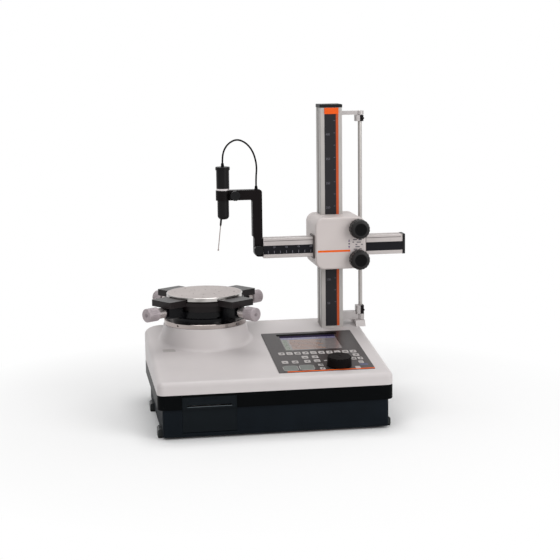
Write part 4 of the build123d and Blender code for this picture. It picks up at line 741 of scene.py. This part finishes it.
@dataclass
class ProbeCable:
    """Free cable between the probe's head and the holder's corner.

    Attributes:
        diameter: Thickness of the cable.
        curve_steps: Steps of the drawn spline from point to point.
        round_steps: Steps of its section in a quarter turn.
        route: Control points, from the probe over the loop to the holder.
    """

    diameter: float = 3.5
    curve_steps: int = 12
    round_steps: int = 4
    route: list[Point] = field(default_factory=lambda: [
        (-64.2, 80.0, 490.0), (-64.2, 80.0, 502.5), (-60.6, 80.0, 517.0), (-51.0, 80.0, 530.0),
        (-35.0, 80.0, 537.5), (-18.5, 80.0, 531.5), (-5.5, 80.0, 518.0), (2.0, 80.0, 500.0),
        (5.2, 80.0, 480.0), (3.2, 80.0, 459.0), (3.2, 80.0, 442.5)])

    def build(self) -> None:
        """Draws the cable as one smooth spline through the holder's plane."""
        curve = bpy.data.curves.new("probe_lead", "CURVE")
        curve.dimensions = "3D"
        spline = curve.splines.new("NURBS")
        spline.points.add(len(self.route) - 1)
        for point, place in zip(spline.points, self.route):
            point.co = (*(c * MM for c in place), 1.0)
        spline.order_u = 3
        spline.use_endpoint_u = True
        spline.resolution_u = self.curve_steps
        curve.bevel_depth = self.diameter / 2 * MM
        curve.bevel_resolution = self.round_steps
        curve.use_fill_caps = True
        piece = bpy.data.objects.new("probe_lead", curve)
        bpy.context.collection.objects.link(piece)
        dress(piece, Finishes.CABLE, "holder")
        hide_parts("probe_cable")


@dataclass
class ColumnScale:
    """Pale graduation on the column's black strip.

    Attributes:
        face_y: Front face of the strip.
        left, width: Left edge and width of the strip.
        low, high: Height of the lowest tick, and the height over which no tick lies.
        step: Height from tick to tick.
        tick, tick_inset: Size of a tick, and its middle from the right edge.
        figure_high, figure_inset: Height of a figure, and its middle from the left edge.
        figure_drop: How far a figure sits under its tick.
        ticks_a_figure, figure_step: Ticks from figure to figure, and what one adds to the last.
    """

    face_y: float = 105.8
    left: float = 149.4
    width: float = 23.9
    low: float = 194.0
    high: float = 573.0
    step: float = 25.0
    tick: Point = (3.6, PRINT, 0.8)
    tick_inset: float = 3.2
    figure_high: float = 4.6
    figure_inset: float = 6.6
    figure_drop: float = 3.0
    ticks_a_figure: int = 2
    figure_step: int = 50

    def build(self) -> None:
        """Sets the ticks and the figures on the black strip."""
        x = self.left + self.width - self.tick_inset
        ticks = block("column_ticks", self.tick, (x, self.face_y - PRINT_LIFT, self.low))
        count = int((self.high - self.low) / self.step)
        ticks = copies(ticks, [(0, 0, self.step * k) for k in range(1, count + 1)])
        dress(ticks, Finishes.SCALE_INK, "base")
        for k in range(count // self.ticks_a_figure + 1):
            z = self.low + self.ticks_a_figure * self.step * k - self.figure_drop
            place = face_front(self.left + self.figure_inset, self.face_y - FIGURE_LIFT, z)
            mark = figures(f"column_figure_{k}", str(self.figure_step * (k + 1)),
                           self.figure_high, place)
            dress(mark, Finishes.SCALE_INK, "base")


@dataclass
class ArmScale:
    """Pale graduation of the arm, and a line of painted shade along the groove of its profile.

    Attributes:
        face_y: Front face of the strip.
        low, high: Place of the first tick along the arm, and where the ticks end.
        step: Way from tick to tick.
        tick, tick_z: Size and height of the ticks.
        figure_z, figure_high: Place and height of the figures.
        figure_step: What a figure adds to the last; every second tick has one.
        groove_low, groove_high: Start and end of the painted shade line.
        groove_z, groove_wide: Its height and its width.
    """

    face_y: float = 65.0
    low: float = 24.0
    high: float = 118.0
    step: float = 12.5
    tick: Point = (0.8, PRINT, 5.4)
    tick_z: float = 308.6
    figure_z: float = 318.4
    figure_high: float = 3.4
    figure_step: int = 25
    groove_low: float = 15.0
    groove_high: float = 300.0
    groove_z: float = 331.3
    groove_wide: float = 1.3

    def build(self) -> None:
        """Sets the ticks and the figures on the arm's strip, and the painted shade line of the
        groove over it.
        """
        y = self.face_y - PRINT_LIFT
        ticks = block("arm_ticks", self.tick, (self.low, y, self.tick_z))
        count = int((self.high - self.low) / self.step)
        ticks = copies(ticks, [(self.step * k, 0, 0) for k in range(1, count + 1)])
        dress(ticks, Finishes.ARM_INK, "arm")
        for k in range((count + 1) // 2):
            place = face_front(self.low + self.step * (2 * k + 1), self.face_y - FIGURE_LIFT,
                               self.figure_z)
            mark = figures(f"arm_figure_{k}", str(self.figure_step * (k + 1)), self.figure_high,
                           place)
            dress(mark, Finishes.ARM_INK, "arm")
        length = self.groove_high - self.groove_low
        # painted shade along the groove of the profile
        groove = block("arm_groove_shade", (length, PRINT, self.groove_wide),
                       (self.groove_low + length / 2, y, self.groove_z))
        dress(groove, Finishes.SHADE, "arm")


@dataclass
class CarriageFront:
    """Print on the front of the carriage.

    Attributes:
        face_y: Front face of the carriage.
        lift: Middle of the line, the dot and the dashes over that face.
        line_low, line_high: Left and right end of the orange line.
        line_z, line_wide, line_thick: Its height, width and thickness.
        arrow_x: Place of the arrows and of the dot between them.
        arrow_up_z, arrow_down_z: Heights of the arrows that point up and down.
        arrow_radius, arrow_stretch: Radius of an arrow's triangle, and its stretch.
        dot_z, dot: Height and size of the dot.
        dash_wide, dashes: Width of a dash, and each dash as x, z and length.
    """

    face_y: float = 50.0
    lift: float = 0.06
    line_low: float = 123.5
    line_high: float = 190.0
    line_z: float = 308.4
    line_wide: float = 4.0
    line_thick: float = 0.12
    arrow_x: float = 188.0
    arrow_up_z: float = 328.6
    arrow_down_z: float = 316.2
    arrow_radius: float = 3.0
    arrow_stretch: Point = (0.9, 1.2, 1.0)
    dot_z: float = 322.4
    dot: Point = (3.0, PRINT, 3.0)
    dash_wide: float = 2.0
    dashes: tuple[Point, ...] = (
        (200.0, 330.5, 8.0), (211.0, 330.0, 7.0), (196.5, 325.6, 3.4), (208.0, 325.2, 9.0),
        (203.0, 320.6, 4.0), (214.5, 320.4, 3.4), (205.5, 315.8, 9.0), (201.0, 311.0, 7.0),
        (211.5, 311.2, 5.0))

    def build(self) -> None:
        """Sets the orange line and the marks that show the two feeds."""
        y = self.face_y - self.lift
        line = block("carriage_line",
                     (self.line_high - self.line_low, self.line_thick, self.line_wide),
                     ((self.line_low + self.line_high) / 2, y, self.line_z))
        dress(line, Finishes.ORANGE, "carriage")
        self.arrow("up", self.arrow_up_z, 0.0)
        self.arrow("down", self.arrow_down_z, math.pi)
        dot = block("carriage_dot", self.dot, (self.arrow_x, y, self.dot_z))
        dress(dot, Finishes.GREY_INK, "carriage")
        for k, (x, z, length) in enumerate(self.dashes):
            dash = block(f"carriage_dash_{k}", (length, PRINT, self.dash_wide), (x, y, z))
            dress(dash, Finishes.GREY_INK, "carriage")

    def arrow(self, name: str, z: float, turn: float) -> None:
        """Sets one flat arrow.

        Args:
            name: Last word of its name.
            z: Height of its middle.
            turn: Turn in the plane of the face, in radians.
        """
        piece = fresh(bpy.ops.mesh.primitive_cylinder_add, vertices=3,
                      radius=self.arrow_radius * MM, depth=PRINT * MM)
        piece.name = f"carriage_arrow_{name}"
        bpy.ops.object.mode_set(mode="EDIT")
        bpy.ops.transform.resize(value=self.arrow_stretch)
        bpy.ops.object.mode_set(mode="OBJECT")
        place = face_front(self.arrow_x, self.face_y - PRINT_LIFT, z)
        piece.data.transform(place @ Matrix.Rotation(turn, 4, "Z"))
        dress(piece, Finishes.VIOLET_INK, "carriage")


@dataclass
class Panel:
    """Print, display fields and key marks of the sloping control panel.

    A box is given as its left, right, near and far edge: x across the panel, and the way up the
    slope from the panel's near edge.

    Attributes:
        front_y: Near edge of the panel.
        slope_deg, mid_z: Slope of the cover, and its height over the middle of the frame.
        film_lift, glass_lift, cap_lift: Middle of the print on the film, of the fields on the
            display and of the print on the keys, over the cover.
        thick: Thickness of a field.
        text_lines, text_box, text_step: Lines of text on the display, box of the nearest one,
            and the way from line to line.
        text_indent: How much shorter each of three lines is than the one before.
        row_keys, row_start, row_step: Keys in the long row, the first of them, and the step.
        single_keys: All other small keys.
        mark_half, mark_grow: Half width of the narrowest mark, and what the next ones add.
        mark_trim: What every second mark loses at its right end.
        mark_rise, bar: Near and far edge of a mark and box of a bar, from the key's middle.
    """

    front_y: float = -153.0
    slope_deg: float = 6.958
    mid_z: float = 127.15
    film_lift: float = 1.05
    glass_lift: float = 0.55
    cap_lift: float = 1.54
    thick: float = 0.12
    text_lines: int = 7
    text_box: tuple[float, float, float, float] = (57.5, 124.0, 131.5, 136.0)
    text_step: float = 8.4
    text_indent: float = 6.0
    row_keys: int = 10
    row_start: tuple[float, float] = (30.1, 105.5)
    row_step: tuple[float, float] = (15.9, -0.45)
    single_keys: tuple[tuple[float, float], ...] = (
        (72.3, 79.5), (92.4, 79.0), (174.3, 80.5), (28.8, 55.7), (48.6, 54.8), (72.7, 55.2),
        (92.0, 55.9), (165.5, 60.0), (178.5, 59.5), (175.4, 38.5), (94.6, 32.0), (94.7, 12.0))
    mark_half: float = 2.2
    mark_grow: float = 0.7
    mark_trim: float = 0.8
    mark_rise: tuple[float, float] = (-3.4, -0.6)
    bar: tuple[float, float, float, float] = (-0.6, 3.2, 1.2, 3.8)

    def place(self, x: float, way: float, lift: float) -> Matrix:
        """Gives a place on the slope.

        Args:
            x: Across the panel.
            way: Up the slope from the panel's near edge.
            lift: Height over the cover.

        Returns:
            Its matrix, x across, y up the slope and z along the normal.
        """
        rise = math.radians(self.slope_deg)
        foot = self.mid_z + math.tan(rise) * self.front_y
        y = self.front_y + way * math.cos(rise) - lift * math.sin(rise)
        z = foot + way * math.sin(rise) + lift * math.cos(rise)
        return Matrix.Translation(Vector((x, y, z)) * MM) @ Matrix.Rotation(rise, 4, "X")

    def lay_field(self, name: str, box: tuple[float, float, float, float], finish: Finish,
                  lift: float, slot: str = "panel_overlay", corner: float = 0.6) -> None:
        """Lays one thin flat field, of print on most pieces and of painted shade on some.

        Args:
            name: Name of the piece.
            box: Left, right, near and far edge.
            finish: Its ink, or its painted shade.
            lift: Height of its middle over the cover.
            slot: Not used.
            corner: Corner radius.
        """
        left, right, near, far = box
        piece = block(name, (right - left, far - near, self.thick), (0, 0, 0), corner)
        piece.data.transform(self.place((left + right) / 2, (near + far) / 2, lift))
        dress(piece, finish, "base")

    def build(self) -> None:
        """Sets the orange edge, the display fields and the print of the keys."""
        self.edge()
        self.screen()
        self.keys()

    def edge(self) -> None:
        """Sets the orange line along the near edge and the loose print on the film."""
        self.lay_field("panel_edge_line", (25.0, 194.4, 0.1, 4.4), Finishes.ORANGE,
                       self.film_lift, corner=0.0)
        self.lay_field("panel_label", (170.5, 186.0, 20.0, 30.0), Finishes.BLUE_INK,
                       self.film_lift)
        self.lay_field("panel_pointer", (105.6, 111.4, 54.5, 58.5), Finishes.WHITE_INK,
                       self.film_lift, corner=0.0)

    def screen(self) -> None:
        """Sets the far bar of the black frame, a band of painted shade under it and the fields of
        the display.
        """
        self.lay_field("display_frame_far", (38.0, 162.0, 213.3, 224.0), Finishes.BEZEL,
                       self.film_lift)
        # the first field is painted shade along the display's far edge
        for name, box, finish in (
                ("display_painted_shade", (42.5, 156.5, 202.0, 212.4), Finishes.DISPLAY_SHADE),
                ("display_heading", (43.5, 155.5, 191.5, 201.5), Finishes.DISPLAY_TOP),
                ("display_side", (43.5, 54.0, 127.0, 191.0), Finishes.DISPLAY_SIDE)):
            self.lay_field(name, box, finish, self.glass_lift, "display")
        left, right, near, far = self.text_box
        for k in range(self.text_lines):
            up = self.text_step * k
            box = (left, right - self.text_indent * (k % 3), near + up, far + up)
            self.lay_field(f"display_text_{k}", box, Finishes.DISPLAY_TEXT, self.glass_lift,
                           "display", 0.0)

    def keys(self) -> None:
        """Sets the print on the two large keys and the marks on the small ones."""
        for k, box in enumerate(((20.5, 47.5, 8.5, 33.5), (52.5, 79.5, 9.5, 34.5))):
            self.lay_field(f"key_print_near_{k}", box, Finishes.GREEN_KEYS, self.cap_lift,
                           "panel_keys", 3.0)
        (x0, way0), (x_step, way_step) = self.row_start, self.row_step
        row = [(x0 + x_step * k, way0 + way_step * k) for k in range(self.row_keys)]
        for k, (x, way) in enumerate([*row, *self.single_keys]):
            # the marks differ in width, and one key in three has no bar
            half = self.mark_half + self.mark_grow * (k % 3)
            low, high = self.mark_rise
            mark = (x - half, x + half - self.mark_trim * (k % 2), way + low, way + high)
            self.lay_field(f"key_mark_{k}", mark, Finishes.KEY_MARK, self.cap_lift,
                           "panel_keys", 0.2)
            if k % 3 != 1:
                left, right, low, high = self.bar
                bar = (x + left, x + right, way + low, way + high)
                self.lay_field(f"key_bar_{k}", bar, Finishes.KEY_MARK, self.cap_lift,
                               "panel_keys", 0.2)


@dataclass
class CoverRecess:
    """Painted shade in and around the small flat recess of the cover, and a painted highlight on
    the paper slot's lip.

    Attributes:
        slope: The panel, which lies on the same slope.
        sides: Left and right edge of the recess.
        lining, shade_floor_lift: Near and far edge of its floor, and its height over the cover.
        edges, edge_lift: Name, near and far edge of each border of painted shade around the recess,
            and their height.
        lip, lip_at: Size and middle of the painted highlight on the lip.
    """

    slope: Panel = field(default_factory=Panel)
    sides: tuple[float, float] = (-199.0, -174.0)
    shade_floor: tuple[float, float] = (157.0, 163.0)
    shade_floor_lift: float = -0.3
    edges: tuple[tuple[str, float, float], ...] = (("near", 151.0, 156.2), ("far", 163.8, 168.5))
    edge_lift: float = 0.04
    lip: Point = (84.0, 0.04, 1.0)
    lip_at: Point = (-128.0, -180.01, 58.4)

    def build(self) -> None:
        """Lays painted shade in and around the recess, and a painted highlight on the lip under the
        printer's slot.
        """
        # painted shade on the floor of the recess
        self.slope.lay_field("recess_floor_shade", (*self.sides, *self.shade_floor), Finishes.RECESS_SHADE,
                             self.shade_floor_lift, "top_cover", 1.0)
        # painted shade on the cover along the near and far borders of the recess
        for name, near, far in self.edges:
            self.slope.lay_field(f"recess_{name}", (*self.sides, near, far), Finishes.RECESS_SHADE,
                                 self.edge_lift, "top_cover", 2.0)
        # painted highlight: a flat pale strip where light falls on the lip under the slot
        lip = block("slot_lip_highlight", self.lip, self.lip_at)
        dress(lip, Finishes.SLOT_HIGHLIGHT, "printer_door")


@dataclass(frozen=True)
class Lamp:
    """One square soft box.

    Attributes:
        name: Name of the lamp.
        at: Its place in metres.
        aim: The point that it faces, in metres.
        size: Side of its square in metres.
        power: Its power in watts.
    """

    name: str
    at: Point
    aim: Point
    size: float
    power: float

    def build(self) -> None:
        """Hangs the lamp and turns it to its aim."""
        data = bpy.data.lights.new(self.name, "AREA")
        data.size = self.size
        data.energy = self.power
        item = bpy.data.objects.new(self.name, data)
        item.location = self.at
        way = Vector(self.aim) - Vector(self.at)
        item.rotation_euler = way.to_track_quat("-Z", "Y").to_euler()
        bpy.context.collection.objects.link(item)


@dataclass
class Studio:
    """Floor, lamps and camera.

    Attributes:
        camera_at: Place of the camera, solved from the photograph.
        yaw_deg, pitch_deg, roll_deg: Turn of its view to the right, its fall and its roll.
        lens, sensor: Focal length, and width of the picture in the camera.
        clip_end: Farthest distance that it sees, in metres.
        floor_z: Height of the floor, just under the feet.
        floor_radius: Radius of the floor in metres.
        fade: Distances in metres at which the floor starts and ends to fade into white.
        lamps: The soft boxes.
        ambient: Strength of the world for rays that only light the object.
    """

    camera_at: Point = (-400.2, -2707.55, 717.02)
    yaw_deg: float = 9.168
    pitch_deg: float = 9.423
    roll_deg: float = 0.722
    lens: float = 90.0
    sensor: float = 36.0
    clip_end: float = 50.0
    floor_z: float = -4.3
    floor_radius: float = 9.0
    fade: tuple[float, float] = (0.3, 0.75)
    lamps: tuple[Lamp, ...] = (
        Lamp("key", (-1.6, -2.2, 2.6), (0, 0, 0.2), 1.6, 23.0),
        Lamp("fill", (2.2, -2.4, 1.4), (0, 0, 0.25), 2.0, 52.0),
        Lamp("top", (0.0, 0.4, 2.8), (0, 0, 0.1), 2.0, 35.0))
    ambient: float = 0.34

    def camera(self) -> None:
        """Sets the camera at the photograph's viewing angle."""
        yaw, pitch, roll = (math.radians(a) for a in (self.yaw_deg, self.pitch_deg,
                                                      self.roll_deg))
        ahead = Vector((math.sin(yaw) * math.cos(pitch), math.cos(yaw) * math.cos(pitch),
                        -math.sin(pitch)))
        right = Vector((math.cos(yaw), -math.sin(yaw), 0))
        up = right.cross(ahead)
        side = right * math.cos(roll) - up * math.sin(roll)
        top = right * math.sin(roll) + up * math.cos(roll)
        turn = Matrix((side, top, -ahead)).transposed().to_4x4()
        data = bpy.data.cameras.new("camera")
        data.lens = self.lens
        data.sensor_width = self.sensor
        data.clip_end = self.clip_end
        item = bpy.data.objects.new("camera", data)
        item.matrix_world = Matrix.Translation(Vector(self.camera_at) * MM) @ turn
        bpy.context.collection.objects.link(item)
        bpy.context.scene.camera = item

    def floor(self) -> None:
        """Lays a pale floor that keeps the shadow near the object and fades to white far off."""
        piece = fresh(bpy.ops.mesh.primitive_circle_add, vertices=96, radius=self.floor_radius,
                      fill_type="NGON", location=(0, 0, self.floor_z * MM))
        piece.name = "floor"
        material = bpy.data.materials.new("pale studio floor")
        material.use_nodes = True
        tree = material.node_tree
        tree.nodes.clear()
        place = add(tree, "ShaderNodeTexCoord").outputs["Object"]
        away = add(tree, "ShaderNodeVectorMath", {0: place}, operation="LENGTH")
        near, far = self.fade
        fade = add(tree, "ShaderNodeMapRange", {"Value": away.outputs["Value"], "From Min": near,
                                                "From Max": far})
        share = add(tree, "ShaderNodeMath", {0: fade.outputs["Result"], 1: white_rays(tree)},
                    operation="MULTIPLY")
        ground = add(tree, "ShaderNodeBsdfDiffuse", {"Color": linear("#fbfbfb")})
        white = add(tree, "ShaderNodeEmission", {"Color": linear("#ffffff"), "Strength": 1.0})
        mix = add(tree, "ShaderNodeMixShader", {0: share.outputs[0], 1: ground.outputs[0],
                                                2: white.outputs[0]})
        add(tree, "ShaderNodeOutputMaterial", {"Surface": mix.outputs[0]})
        piece.data.materials.append(material)

    def light(self) -> None:
        """Lights the object softly from above and from the front."""
        for lamp in self.lamps:
            lamp.build()
        world = bpy.data.worlds.new("studio")
        bpy.context.scene.world = world
        world.use_nodes = True
        tree = world.node_tree
        tree.nodes.clear()
        strength = add(tree, "ShaderNodeMapRange", {"Value": white_rays(tree),
                                                    "To Min": self.ambient, "To Max": 1.0})
        back = add(tree, "ShaderNodeBackground", {"Color": linear("#ffffff"),
                                                  "Strength": strength.outputs["Result"]})
        add(tree, "ShaderNodeOutputWorld", {"Surface": back.outputs[0]})
        bpy.context.scene.view_settings.view_transform = "Standard"

    def build(self) -> None:
        """Sets up camera, floor and light."""
        self.camera()
        self.floor()
        self.light()


def main() -> None:
    """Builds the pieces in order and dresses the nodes."""
    logging.basicConfig(level=logging.INFO, format="%(message)s")
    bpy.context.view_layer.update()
    dress_nodes()
    Studio().build()
    ProbeCable().build()
    ColumnScale().build()
    ArmScale().build()
    CarriageFront().build()
    Panel().build()
    CoverRecess().build()


if __name__ == "__main__":
    main()
